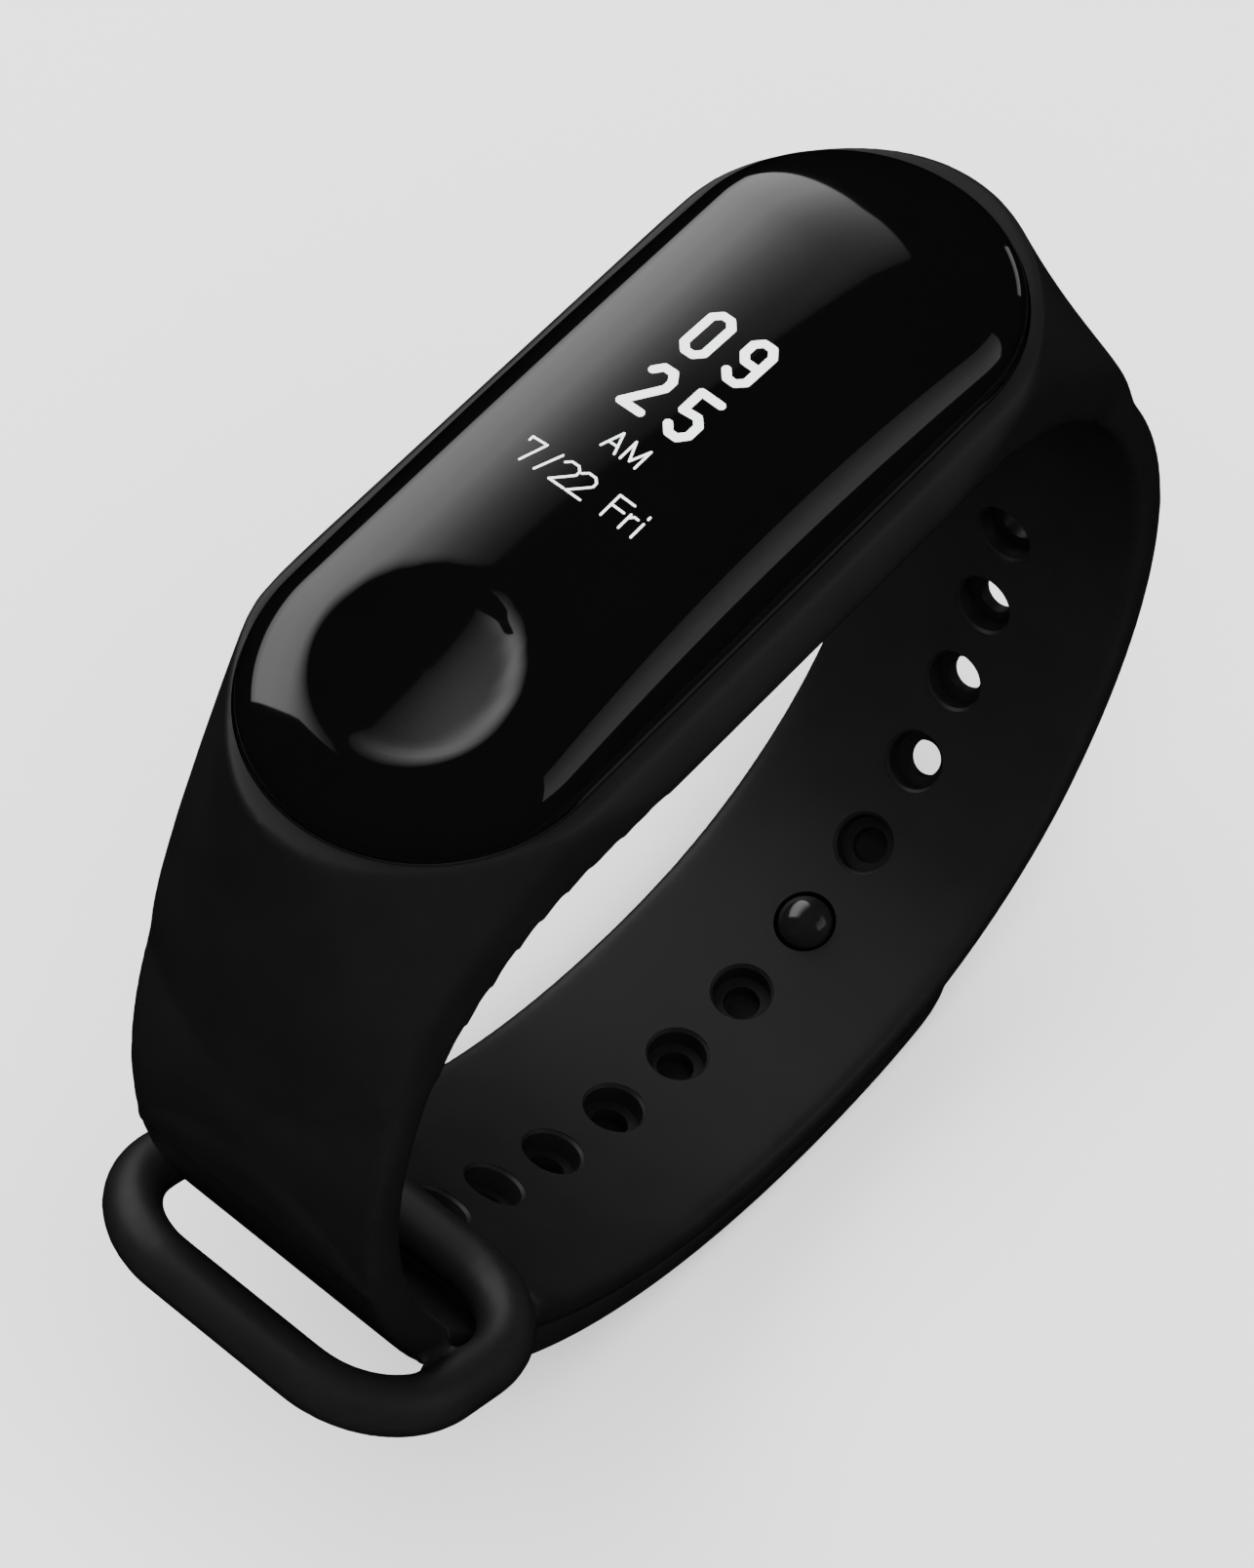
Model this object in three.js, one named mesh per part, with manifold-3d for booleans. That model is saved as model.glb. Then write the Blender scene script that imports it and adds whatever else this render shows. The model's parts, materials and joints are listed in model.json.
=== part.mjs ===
// Fitness tracker band: a curved plastic capsule that snaps into a silicone wrist band.
// Millimetres. X runs round the wrist, Y runs along the wrist and +Z is the way the display faces.
// The band is drawn from the rim plane, where the cover meets the lip of the cradle (z = 0 there),
// and the finished group is then set down on its lowest point.

import * as THREE from 'three';
import { mergeVertices } from 'three/addons/utils/BufferGeometryUtils.js';
import Module from 'manifold-3d';

const wasm = await Module();
wasm.setup();

// ---- driving dimensions ---------------------------------------------------------------------

const capsuleLength = 46.6;
const capsuleWidth = 17.7;
const coverRise = 4.5; // top of the cover above the rim plane
const capsuleDepth = 7.5; // ends of the capsule below the rim plane
const coverEnd = 2.032; // top of the cover above the rim plane, at each end
const coverArch = (capsuleLength / 2) ** 2 / (2 * (coverRise - coverEnd)); // radius of that top line
const edgeBelow = 0.9; // how far under the rim plane the cover's rounding starts
const coverEdge = coverRise + edgeBelow; // width of the rounded border of the cover
const coverWall = 1;
const shellWall = 1;
const dishRadius = 5;
const dishDepth = 0.6;
const dishFromEnd = 8.1; // centre of the touch dish to the end of the capsule

const cradleWall = 1.6; // side wall of the cradle at its thickest
const cradleWidth = capsuleWidth + 2 * cradleWall;
const lipWidth = 0.55; // wall of the cradle at the rim
const lipEnd = 1.1; // wall of the cradle beyond each end of the capsule
const cradleFloor = 1.2;
const capsuleFit = 0.12; // clearance between the capsule and its pocket
const cradleCut = -14; // height where the cradle hands over to the two straps
const shoulderFlare = 7.2; // how far the rim's outline spreads by that height

const strapWidth = 16.8;
const strapThickness = 2.1;
const frontWidth = 16;
const frontThickness = 2.3;
const edgeRound = 0.45;

const undersideHeight = -2.65; // inner face of the band under the capsule
const flatFront = -8.6; // ends of the level stretch under the capsule
const flatBack = 9.3;
const strapArcs = [[12.9, 34.5], [32.6, 87.1], [19.1, 54.7], [33.5, 55]]; // radius, degrees
const frontArcs = [[13.65, 45], [27.9, 51.8]];
const arcStep = 4.5; // degrees between points on an arc

const holeCount = 12;
const holePitch = 5.6;
const firstHole = 43.9; // along the strap from the level stretch
const holeRadius = 1.66; // wide mouth on the inside
const neckRadius = 1.05; // narrow lip on the outside
const mouthDepth = 1.3;
const clasped = 5; // the hole that the stud sits in, counted from 0

const layerGap = 0.3; // between the perforated strap and the tail outside it
const tailTip = 8.1; // stud to the end of the tail
const peelDistance = 11; // hinge of the peeling tail to the stud, along the strap
const peelRange = 40; // degrees
const studRadius = 0.85;
const capRadius = 1.6;
const capHeight = 1.5;
const baseRadius = 2.8;
const baseThickness = 0.7;
const studFit = 0.1;
const capSeat = 0.5; // where the shank meets its cap, from the inner face of the strap

const loopLength = 13.66; // bar centre to bar centre
const loopBar = 3.15;
const loopFit = 0.375; // front strap to the sides of the loop
const loopWidth = frontWidth + 2 * loopFit + loopBar;
const loopCorner = 7;
const loopHoleCorner = 3.2;
const loopTilt = 23.5; // degrees that the loop leans out from the end of the strap
const loopInset = 2.2; // end of the strap to the middle of the loop's inner bar

const windowLength = 19.6; // opening in the cradle floor
const windowWidth = 10.6;
const bumpFit = 0.3;
const bumpDrop = 0.9; // how far the sensor bump stands out of the band
const glassLength = 9;
const glassWidth = 6.4;
const glassThickness = 0.6;

const degree = Math.PI / 180;
const far = 60; // longer than any piece

// ---- colours ----------------------------------------------------------------------------------

const black = 0x0b0b0c;
const looks = {
  silicone: { color: 0x151516, roughness: 0.62, metalness: 0 },
  gloss: { color: black, roughness: 0.08, metalness: 0 },
  plastic: { color: 0x1c1c1e, roughness: 0.5, metalness: 0 },
  glass: { color: 0x121417, roughness: 0.1, metalness: 0 },
  board: { color: 0x12402a, roughness: 0.55, metalness: 0 },
  chip: { color: 0x1a1a1a, roughness: 0.45, metalness: 0 },
  steel: { color: 0xa9abad, roughness: 0.3, metalness: 1 },
  gold: { color: 0xc9a24a, roughness: 0.25, metalness: 1 },
  foil: { color: 0xb9bcc0, roughness: 0.35, metalness: 0.8 },
  foam: { color: 0x3a3a3c, roughness: 0.9, metalness: 0 },
  lamp: { color: 0x7fd08a, roughness: 0.3, metalness: 0 },
};

// ---- solids -----------------------------------------------------------------------------------

function toSolid(geometry) {
  const bare = geometry.clone();
  bare.deleteAttribute('normal');
  bare.deleteAttribute('uv');
  const merged = mergeVertices(bare, 1e-4);
  return new wasm.Manifold(new wasm.Mesh({
    numProp: 3,
    vertProperties: new Float32Array(merged.attributes.position.array),
    triVerts: new Uint32Array(merged.index.array),
  }));
}

function toGeometry(solid) {
  const mesh = solid.getMesh();
  const geometry = new THREE.BufferGeometry();
  geometry.setAttribute('position', new THREE.BufferAttribute(mesh.vertProperties, 3));
  geometry.setIndex(new THREE.BufferAttribute(mesh.triVerts, 1));
  geometry.computeVertexNormals();
  return geometry;
}

function stadium(halfLength, halfWidth) {
  const shape = new THREE.Shape();
  const straight = halfLength - halfWidth;
  shape.absarc(straight, 0, halfWidth, -Math.PI / 2, Math.PI / 2, false);
  shape.absarc(-straight, 0, halfWidth, Math.PI / 2, 1.5 * Math.PI, false);
  return shape;
}

function rectangle(x0, x1, y0, y1) {
  const corners = [[x0, y0], [x1, y0], [x1, y1], [x0, y1]];
  return new THREE.Shape(corners.map(([x, y]) => new THREE.Vector2(x, y)));
}

// Extrudes a plan, drawn in X and Y, from one height up to another; round softens both rims.
function prism(plan, low, high, round = 0, segments = 2, curveSegments = 8) {
  const geometry = new THREE.ExtrudeGeometry(plan, {
    depth: high - low - 2 * round,
    bevelEnabled: round > 0,
    bevelThickness: round,
    bevelSize: round,
    bevelOffset: -round,
    bevelSegments: segments,
    curveSegments,
  });
  return geometry.translate(0, 0, low + round);
}

// Extrudes an outline drawn in X and Z along Y, the same distance each way.
function sideways(outline, halfWidth, round = 0) {
  return prism(outline, -halfWidth, halfWidth, round, 1).rotateX(Math.PI / 2);
}

function box(x0, x1, y0, y1, z0, z1) {
  return new THREE.BoxGeometry(x1 - x0, y1 - y0, z1 - z0)
    .translate((x0 + x1) / 2, (y0 + y1) / 2, (z0 + z1) / 2);
}

// Turns a closed profile of [radius, height] points about the Z axis.
function turned(profile, segments = 20) {
  const points = profile.map(([radius, height]) => new THREE.Vector2(radius, height));
  return new THREE.LatheGeometry(points, segments).rotateX(Math.PI / 2);
}

function disc(radius, low, high, segments = 20) {
  return turned([[0, low], [radius, low], [radius, high], [0, high]], segments);
}

function cut(geometry, ...tools) {
  let solid = toSolid(geometry);
  for (const tool of tools) solid = solid.subtract(toSolid(tool));
  return toGeometry(solid);
}

function common(geometry, ...others) {
  let solid = toSolid(geometry);
  for (const other of others) solid = solid.intersect(toSolid(other));
  return toGeometry(solid);
}

// ---- the inner face of the band, as paths in X and Z --------------------------------------------

// Walks from a start along arcs of [radius, degrees]; bend is -1 to the right and 1 to the left.
// Each point carries its heading, the unit normal that points out of the band, and its distance.
function walk(x, z, heading, arcs, bend) {
  let at = { x, z, heading, distance: 0 };
  const points = [at];
  for (const [radius, degrees] of arcs) {
    const steps = Math.ceil(degrees / arcStep);
    const turn = bend * degrees * degree / steps;
    for (let i = 0; i < steps; i++) {
      const next = at.heading + turn;
      at = {
        x: at.x + bend * radius * (Math.sin(next) - Math.sin(at.heading)),
        z: at.z - bend * radius * (Math.cos(next) - Math.cos(at.heading)),
        heading: next,
        distance: at.distance + radius * Math.abs(turn),
      };
      points.push(at);
    }
  }
  for (const point of points) {
    point.nx = bend * Math.sin(point.heading);
    point.nz = -bend * Math.cos(point.heading);
  }
  return points;
}

function between(path, distance) {
  const next = Math.max(1, path.findIndex((point) => point.distance >= distance));
  const a = path[next - 1];
  const b = path[next];
  const share = (distance - a.distance) / (b.distance - a.distance);
  const mix = (key) => a[key] + (b[key] - a[key]) * share;
  const heading = mix('heading');
  const side = Math.sign(b.heading - a.heading);
  return {
    x: mix('x'), z: mix('z'), heading, distance,
    nx: side * Math.sin(heading), nz: -side * Math.cos(heading),
  };
}

function stretch(path, from, to) {
  const inner = path.filter((point) => point.distance > from + 0.2 && point.distance < to - 0.2);
  return [between(path, from), ...inner, between(path, to)];
}

function outward(point, offset) {
  return new THREE.Vector2(point.x + point.nx * offset, point.z + point.nz * offset);
}

function sheet(points, inner, outer) {
  const near = points.map((point) => outward(point, inner));
  const away = points.map((point) => outward(point, outer)).reverse();
  return new THREE.Shape([...near, ...away]);
}

const strapPath = walk(flatBack, undersideHeight, 0, strapArcs, -1);
const armPath = walk(flatFront, undersideHeight, Math.PI, frontArcs, 1);
const strapEnd = strapPath.at(-1).distance;
const studAt = between(strapPath, firstHole + clasped * holePitch);
const tailInner = strapThickness + layerGap;
const tailOuter = tailInner + frontThickness;
const hinge = between(strapPath, studAt.distance + peelDistance);
const hingePoint = outward(hinge, (tailInner + tailOuter) / 2);

// Carries the front arm through the keeper loop until it lies along the outside of the strap.
function crossing() {
  const from = armPath.at(-1);
  const to = strapPath.at(-1);
  const start = new THREE.Vector2(from.x, from.z);
  const finish = outward(to, tailInner);
  const handle = start.distanceTo(finish) / 3;
  const lead = (point, length) => new THREE.Vector2(Math.cos(point.heading), Math.sin(point.heading))
    .multiplyScalar(length);
  const curve = new THREE.CubicBezierCurve(start, start.clone().add(lead(from, handle)),
    finish.clone().add(lead(to, handle)), finish);
  const steps = 10;
  return Array.from({ length: steps + 1 }, (_, i) => {
    const place = curve.getPoint(i / steps);
    const along = curve.getTangent(i / steps);
    return { x: place.x, z: place.y, nx: along.y, nz: -along.x };
  });
}

// Places a geometry made about +Z at a point of the strap, with +Z pointing out of the band.
function onStrap(geometry, point) {
  const turn = Math.atan2(point.nx, point.nz);
  return geometry.rotateY(turn).translate(point.x, 0, point.z);
}

// ---- band -------------------------------------------------------------------------------------

// Half of the cradle's plan, narrowing from the wide middle to the straps.
function cradlePlan() {
  const middle = 10;
  const waist = 27.5;
  const wide = cradleWidth / 2;
  const back = strapWidth / 2;
  const front = frontWidth / 2;
  const plan = new THREE.Shape();
  plan.moveTo(-far, -front);
  plan.lineTo(-waist, -front);
  plan.bezierCurveTo(-waist + 6.5, -front, -middle - 8, -wide, -middle, -wide);
  plan.lineTo(middle, -wide);
  plan.bezierCurveTo(middle + 8, -wide, waist - 6.5, -back, waist, -back);
  plan.lineTo(far, -back);
  plan.lineTo(far, back);
  plan.lineTo(waist, back);
  plan.bezierCurveTo(waist - 6.5, back, middle + 8, wide, middle, wide);
  plan.lineTo(-middle, wide);
  plan.bezierCurveTo(-middle - 8, wide, -waist + 6.5, front, -waist, front);
  plan.lineTo(-far, front);
  return plan;
}

// The point where a straight shoulder from the rim runs tangent into the outside of a strap.
function shoulderMeets(path, thickness) {
  const rimX = Math.sign(path.at(0).x) * (capsuleLength / 2 + lipEnd);
  let best = path[1];
  let widest = -Infinity;
  for (const point of path.filter((candidate) => candidate.z > -2 * capsuleDepth - strapWidth / 2)) {
    const spot = outward(point, thickness);
    const slope = Math.atan2(Math.abs(spot.x) - Math.abs(rimX), -spot.y);
    if (slope > widest) {
      widest = slope;
      best = point;
    }
  }
  return best;
}

function bandSide() {
  const rim = capsuleLength / 2 + lipEnd;
  const backMeets = shoulderMeets(strapPath, strapThickness);
  const frontMeets = shoulderMeets(armPath, frontThickness);
  const below = (path, meets) => path.filter((point) => point.distance >= meets.distance
    && point.z > cradleCut - strapWidth);
  const backOuter = below(strapPath, backMeets).map((point) => outward(point, strapThickness));
  const frontOuter = below(armPath, frontMeets).map((point) => outward(point, frontThickness));
  const backInner = strapPath.filter((point) => point.z > cradleCut - strapWidth)
    .map((point) => outward(point, 0));
  const frontInner = armPath.filter((point) => point.z > cradleCut - strapWidth)
    .map((point) => outward(point, 0));
  return new THREE.Shape([
    ...frontInner.reverse(), ...backInner, ...backOuter.reverse(),
    new THREE.Vector2(rim, 0), new THREE.Vector2(-rim, 0), ...frontOuter,
  ]);
}

// The cradle wall leans out from the lip, so its section is wider lower down.
function wallSection() {
  const lip = capsuleWidth / 2 + capsuleFit + lipWidth;
  const wide = cradleWidth / 2;
  const outline = [[-lip, 0], [-wide, -2.2], [-wide, -far], [wide, -far], [wide, -2.2], [lip, 0]];
  const section = new THREE.Shape(outline.map(([y, z]) => new THREE.Vector2(y, z)));
  return prism(section, -far, far).rotateX(Math.PI / 2).rotateZ(Math.PI / 2);
}

// A skirt that flares from the rim, so that the corners of the shoulders fall away.
function rimSkirt() {
  const drop = -cradleCut;
  const rim = stadium(capsuleLength / 2 + lipEnd, capsuleWidth / 2 + capsuleFit + lipWidth);
  const skirt = new THREE.ExtrudeGeometry(rim, {
    depth: far, bevelThickness: drop, bevelSize: shoulderFlare, bevelSegments: 5, curveSegments: 10,
  });
  return skirt.translate(0, 0, -far - drop);
}

// The underside of the capsule: the inner face of the band, lifted by the floor of the cradle.
function undersideShape(lift, top) {
  const back = strapPath.filter((point) => point.x > 0 && point.z > -far / 4);
  const line = back.map((point) => outward(point, lift)).filter((spot) => spot.y > -capsuleDepth);
  const last = back.find((point) => outward(point, lift).y <= -capsuleDepth);
  const prior = line.at(-1);
  const next = outward(last, lift);
  const share = (-capsuleDepth - prior.y) / (next.y - prior.y);
  line.push(new THREE.Vector2(prior.x + (next.x - prior.x) * share, -capsuleDepth));
  line.push(new THREE.Vector2(far, -capsuleDepth), new THREE.Vector2(far, top));
  const mirrored = line.map((spot) => new THREE.Vector2(-spot.x, spot.y)).reverse();
  return new THREE.Shape([...mirrored, ...line]);
}

// The capsule below the rim, grown by the clearance that its pocket needs.
function capsuleBody(grow, top) {
  const plan = stadium(capsuleLength / 2 + grow, capsuleWidth / 2 + grow);
  const side = undersideShape(cradleFloor + capsuleFit - grow, top);
  return common(prism(plan, -far, top), sideways(side, far));
}

function bandCradle() {
  const body = common(sideways(bandSide(), far), prism(cradlePlan(), -far, far), wallSection(), rimSkirt());
  const windowPlan = stadium(windowLength / 2, windowWidth / 2);
  return cut(body, capsuleBody(capsuleFit, 1), prism(windowPlan, -far, 1),
    box(-far, far, -far, far, -2 * far, cradleCut));
}

function frontStrap() {
  const arm = armPath.filter((point) => point.z > cradleCut - far);
  const cutBack = frontThickness / 2 * Math.tan((peelRange + 5) * degree);
  const joint = hinge.distance + layerGap / 2;
  const tail = stretch(strapPath, joint, strapEnd).reverse();
  const middle = (tailInner + tailOuter) / 2;
  const clear = stretch(strapPath, joint + cutBack, strapEnd).reverse();
  const bridge = crossing().slice(1, -1);
  const near = [
    ...arm.map((point) => outward(point, 0)),
    ...bridge.map((point) => outward(point, 0)),
    ...tail.map((point) => outward(point, tailInner)),
  ];
  const away = [
    ...arm.map((point) => outward(point, frontThickness)),
    ...bridge.map((point) => outward(point, frontThickness)),
    ...clear.map((point) => outward(point, tailOuter)),
    outward(tail.at(-1), middle),
  ];
  const side = new THREE.Shape([...near, ...away.reverse()]);
  return cut(sideways(side, frontWidth / 2, edgeRound), box(-far, far, -far, far, cradleCut, far));
}

function strapHole(index) {
  const top = strapThickness + 1;
  const snug = [[0, -1], [holeRadius, -1], [holeRadius, mouthDepth], [neckRadius, mouthDepth],
    [neckRadius, top], [0, top]];
  const open = [[0, -1], [capRadius + 2 * studFit, -1], [capRadius + 2 * studFit, top], [0, top]];
  const tool = turned(index === clasped ? open : snug, 16);
  return onStrap(tool, between(strapPath, firstHole + index * holePitch));
}

function perforatedStrap() {
  const path = strapPath.filter((point) => point.z < cradleCut + strapWidth / 2);
  const strap = sideways(sheet(path, 0, strapThickness), strapWidth / 2, edgeRound);
  const holes = Array.from({ length: holeCount }, (_, index) => strapHole(index));
  return cut(strap, ...holes, box(0, far, -far, far, cradleCut, far));
}

function keeperLoop() {
  const end = strapPath.at(-1);
  const frame = new THREE.Shape();
  const outer = (loopLength + loopBar) / 2;
  const side = (loopWidth + loopBar) / 2;
  roundedRectangle(frame, outer, side, loopCorner);
  const hole = new THREE.Path();
  roundedRectangle(hole, outer - loopBar, side - loopBar, loopHoleCorner);
  frame.holes.push(hole);
  const round = loopBar * 0.32;
  const ring = prism(frame, -loopBar / 2, loopBar / 2, round, 2, 5);
  const tilt = end.heading + loopTilt * degree;
  const innerX = end.x + Math.cos(end.heading) * loopInset;
  const innerZ = end.z + Math.sin(end.heading) * loopInset;
  ring.rotateY(-tilt);
  return ring.translate(innerX + Math.cos(tilt) * loopLength / 2, 0,
    innerZ + Math.sin(tilt) * loopLength / 2);
}

function roundedRectangle(path, halfX, halfY, corner) {
  path.absarc(halfX - corner, halfY - corner, corner, 0, Math.PI / 2, false);
  path.absarc(-halfX + corner, halfY - corner, corner, Math.PI / 2, Math.PI, false);
  path.absarc(-halfX + corner, -halfY + corner, corner, Math.PI, 1.5 * Math.PI, false);
  path.absarc(halfX - corner, -halfY + corner, corner, 1.5 * Math.PI, 2 * Math.PI, false);
}

// ---- tail and stud ----------------------------------------------------------------------------

function tailTab() {
  const tip = studAt.distance - tailTip - 1;
  const side = sheet(stretch(strapPath, tip, hinge.distance - layerGap / 2), tailInner, tailOuter);
  const tongue = new THREE.Shape();
  tongue.absarc(0, 0, tailTip, Math.PI / 2, 1.5 * Math.PI, false);
  tongue.lineTo(far / 2, -frontWidth / 2);
  tongue.lineTo(far / 2, frontWidth / 2);
  const outline = onStrap(prism(tongue, -far / 4, far / 4), studAt);
  const base = disc(baseRadius + studFit, tailOuter - baseThickness, far / 4);
  const bore = disc(studRadius + studFit, 0, far / 4, 16);
  return cut(common(sideways(side, frontWidth / 2, edgeRound), outline),
    onStrap(base, studAt), onStrap(bore, studAt));
}

// A headed pin: its round base is sunk in the outside of the tail and its shank passes the hole.
function claspStud() {
  const profile = [[0, capSeat], [studRadius, capSeat], [studRadius, tailOuter - baseThickness + studFit],
    [baseRadius, tailOuter - baseThickness + studFit], [baseRadius, tailOuter], [0, tailOuter]];
  return onStrap(turned(profile), studAt);
}

function studCap() {
  const top = capSeat - studFit;
  const profile = [[0, top - capHeight], [capRadius * 0.62, top - capHeight * 0.86],
    [capRadius * 0.92, top - capHeight * 0.5], [capRadius, top - capHeight * 0.12],
    [capRadius * 0.94, top], [0, top]];
  return onStrap(turned(profile), studAt);
}

// ---- capsule shells -----------------------------------------------------------------------------

function coverSolid(inset, rise) {
  const plan = stadium(capsuleLength / 2 - inset, capsuleWidth / 2 - inset);
  const edge = coverEdge - inset;
  const dome = prism(plan, -2 * edge, rise, edge, 5, 10);
  const arch = new THREE.Shape();
  arch.absarc(0, rise - coverArch, coverArch, 70 * degree, 110 * degree, false);
  arch.lineTo(-far, -far);
  arch.lineTo(far, -far);
  return cut(common(dome, sideways(arch, far)), box(-far, far, -far, far, -2 * far, 0));
}

function archDrop(x) {
  return x * x / (2 * coverArch);
}

const dishX = -capsuleLength / 2 + dishFromEnd;
const dishTop = coverRise - archDrop(dishX);

function dishTool() {
  const radius = (dishRadius * dishRadius + dishDepth * dishDepth) / (2 * dishDepth);
  const rings = 4;
  const profile = [];
  for (let i = 0; i <= rings; i++) {
    const reach = dishRadius * i / rings;
    profile.push([reach, dishTop - dishDepth + radius - Math.sqrt(radius * radius - reach * reach)]);
  }
  profile.push([dishRadius, dishTop + 3], [0, dishTop + 3]);
  return turned(profile, 28).translate(dishX, 0, 0);
}

function topCover() {
  return cut(coverSolid(0, coverRise), coverSolid(coverWall, coverRise - coverWall), dishTool());
}

const bumpBottom = undersideHeight - bumpDrop;
const bumpHalfLength = windowLength / 2 - bumpFit;
const bumpHalfWidth = windowWidth / 2 - bumpFit;
const glassTop = bumpBottom + glassThickness;
const contactX = (bumpHalfLength + glassLength / 2) / 2;
const contactRadius = 0.8;
const partFit = 0.1; // clearance of the small pieces in their seats

function bottomShell() {
  const inner = stadium(capsuleLength / 2 - shellWall, capsuleWidth / 2 - shellWall);
  const lift = cradleFloor + capsuleFit;
  const hollow = common(prism(inner, -far, 1), sideways(undersideShape(lift + shellWall, 1), far),
    box(-far, far, -far, far, -capsuleDepth + shellWall, 1));
  const bump = prism(stadium(bumpHalfLength, bumpHalfWidth), bumpBottom, undersideHeight + lift + 0.2);
  const outer = toGeometry(toSolid(capsuleBody(0, 0)).add(toSolid(bump)));
  const room = prism(stadium(bumpHalfLength - shellWall, bumpHalfWidth - shellWall), glassTop, 1);
  const pane = box(-glassLength / 2 - partFit, glassLength / 2 + partFit,
    -glassWidth / 2 - partFit, glassWidth / 2 + partFit, bumpBottom - 1, glassTop + 0.3);
  const bores = [-contactX, contactX].map((x) => disc(contactRadius + partFit, bumpBottom - 1, 1, 14)
    .translate(x, 0, 0));
  return cut(outer, hollow, room, pane, ...bores);
}

function sealRing() {
  const inset = coverWall + 0.3;
  const outer = stadium(capsuleLength / 2 - inset, capsuleWidth / 2 - inset);
  const inner = stadium(capsuleLength / 2 - inset - 0.4, capsuleWidth / 2 - inset - 0.4);
  outer.holes.push(new THREE.Path(inner.getPoints(8).reverse()));
  return prism(outer, -0.2, 0.2, 0, 1, 8);
}

// ---- inside the capsule -------------------------------------------------------------------------

const hollowFloor = undersideHeight + cradleFloor + capsuleFit + shellWall;
const displayThickness = 0.9;
const displayMargin = 4.25; // side of the capsule to the display
const displayHalfWidth = capsuleWidth / 2 - displayMargin;
const displayX = 2;
const displayHalfLength = 8.2;
const displayTop = coverRise - coverWall - archDrop(displayX + displayHalfLength) - 0.25;
const boardLength = 13; // end of the capsule to the inner edge of the board
const boardX0 = capsuleLength / 2 - boardLength;
const batteryHalfLength = boardX0 - 0.9;
const batteryMargin = 1.45; // battery to the inside of the shell
const batteryHalfWidth = capsuleWidth / 2 - shellWall - batteryMargin;
const batteryPadThickness = 0.15;
const batteryBottom = hollowFloor + batteryPadThickness + 0.05;
const batteryTop = displayTop - displayThickness - 0.3;
const frameWall = 0.6;
const frameFit = 0.12; // carrier frame to the inside of the cover
const boardThickness = 0.6;
const boardBottom = 0.3;
const boardTop = boardBottom + boardThickness;
const boardHalfWidth = 4.6;
const antennaFit = 0.04; // antenna to the inside of the cover
const motionEnd = boardX0 + 9.8;
const motionFit = 0.06; // motion sensor to the inside of the cover
const motionTop = coverRise - coverWall - archDrop(motionEnd) - motionFit;
const processorEnd = boardX0 + 7.5;
const processorFit = 0.31; // processor to the inside of the cover
const processorTop = coverRise - coverWall - archDrop(processorEnd) - processorFit;
const motorRadius = 3.2;
const motorX = -capsuleLength / 2 + motorRadius + 3.5;
const motorHeight = 1.9;
const electrodeBottom = dishTop - dishDepth - coverWall - 0.55;
const motorFit = 0.1; // motor to the touch electrode above it
const motorBottom = electrodeBottom - motorFit - motorHeight;
const motorWall = 0.3;
const rotorRadius = motorRadius - motorWall - 0.3;
const sensorBoardBottom = glassTop + 0.95;
const sensorBoardTop = sensorBoardBottom + 0.5;

// Height of the cover's inside where its rounded border passes over a line along the capsule.
function borderHeight(y) {
  const round = coverEdge - coverWall;
  const fromMiddle = y - (capsuleWidth / 2 - coverEdge);
  return Math.sqrt(round * round - fromMiddle * fromMiddle) - edgeBelow;
}

function carrierFrame() {
  const frameHalfLength = batteryHalfLength + frameWall;
  const frameHalfWidth = batteryHalfWidth + frameWall;
  const plan = rectangle(-frameHalfLength, frameHalfLength, -frameHalfWidth, frameHalfWidth);
  plan.holes.push(new THREE.Path(rectangle(-batteryHalfLength - partFit, batteryHalfLength + partFit,
    -batteryHalfWidth - partFit, batteryHalfWidth + partFit).getPoints()));
  return prism(plan, batteryBottom, borderHeight(frameHalfWidth) - frameFit);
}

function displayModule() {
  return box(displayX - displayHalfLength, displayX + displayHalfLength,
    -displayHalfWidth, displayHalfWidth, displayTop - displayThickness, displayTop);
}

// A thin ribbon that leaves the end of the display and steps down onto the main board.
function displayFlex() {
  const thick = 0.15;
  const x0 = displayX + displayHalfLength - 3;
  const x1 = boardX0 + 2.2;
  const high = displayTop - displayThickness - 0.05;
  const low = boardTop + 0.05;
  const drop = boardX0 + 0.9;
  const line = [[x0, high], [drop, high], [drop, low + thick], [x1, low + thick], [x1, low],
    [drop - thick, low], [drop - thick, high - thick], [x0, high - thick]];
  return sideways(new THREE.Shape(line.map(([x, z]) => new THREE.Vector2(x, z))), 2);
}

function touchElectrode() {
  return disc(3.6, electrodeBottom, electrodeBottom + 0.25, 24).translate(dishX, 0, 0);
}

function mainBoard() {
  const reach = stadium(capsuleLength / 2 - shellWall - 0.5, boardHalfWidth);
  return common(prism(reach, boardBottom, boardTop), box(boardX0, far, -far, far, -far, far));
}

function shieldCan() {
  const wall = 0.2;
  const x0 = boardX0 + 4.8;
  const x1 = x0 + 5;
  const low = boardBottom - 1.25;
  const can = box(x0, x1, -3.2, 3.2, low, boardBottom - 0.05);
  return cut(can, box(x0 + wall, x1 - wall, -3.2 + wall, 3.2 - wall, low + wall, boardBottom + 1));
}

function antennaStrip() {
  const reach = capsuleWidth / 2 - coverWall - 1;
  const centre = (capsuleLength - capsuleWidth) / 2;
  const arc = new THREE.Shape();
  arc.absarc(centre, 0, reach, -1, 1, false);
  arc.absarc(centre, 0, reach - 0.5, 1, -1, true);
  const top = coverRise - coverWall - archDrop(centre + reach) - antennaFit;
  return prism(arc, top - 0.25, top, 0, 1, 10);
}

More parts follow.
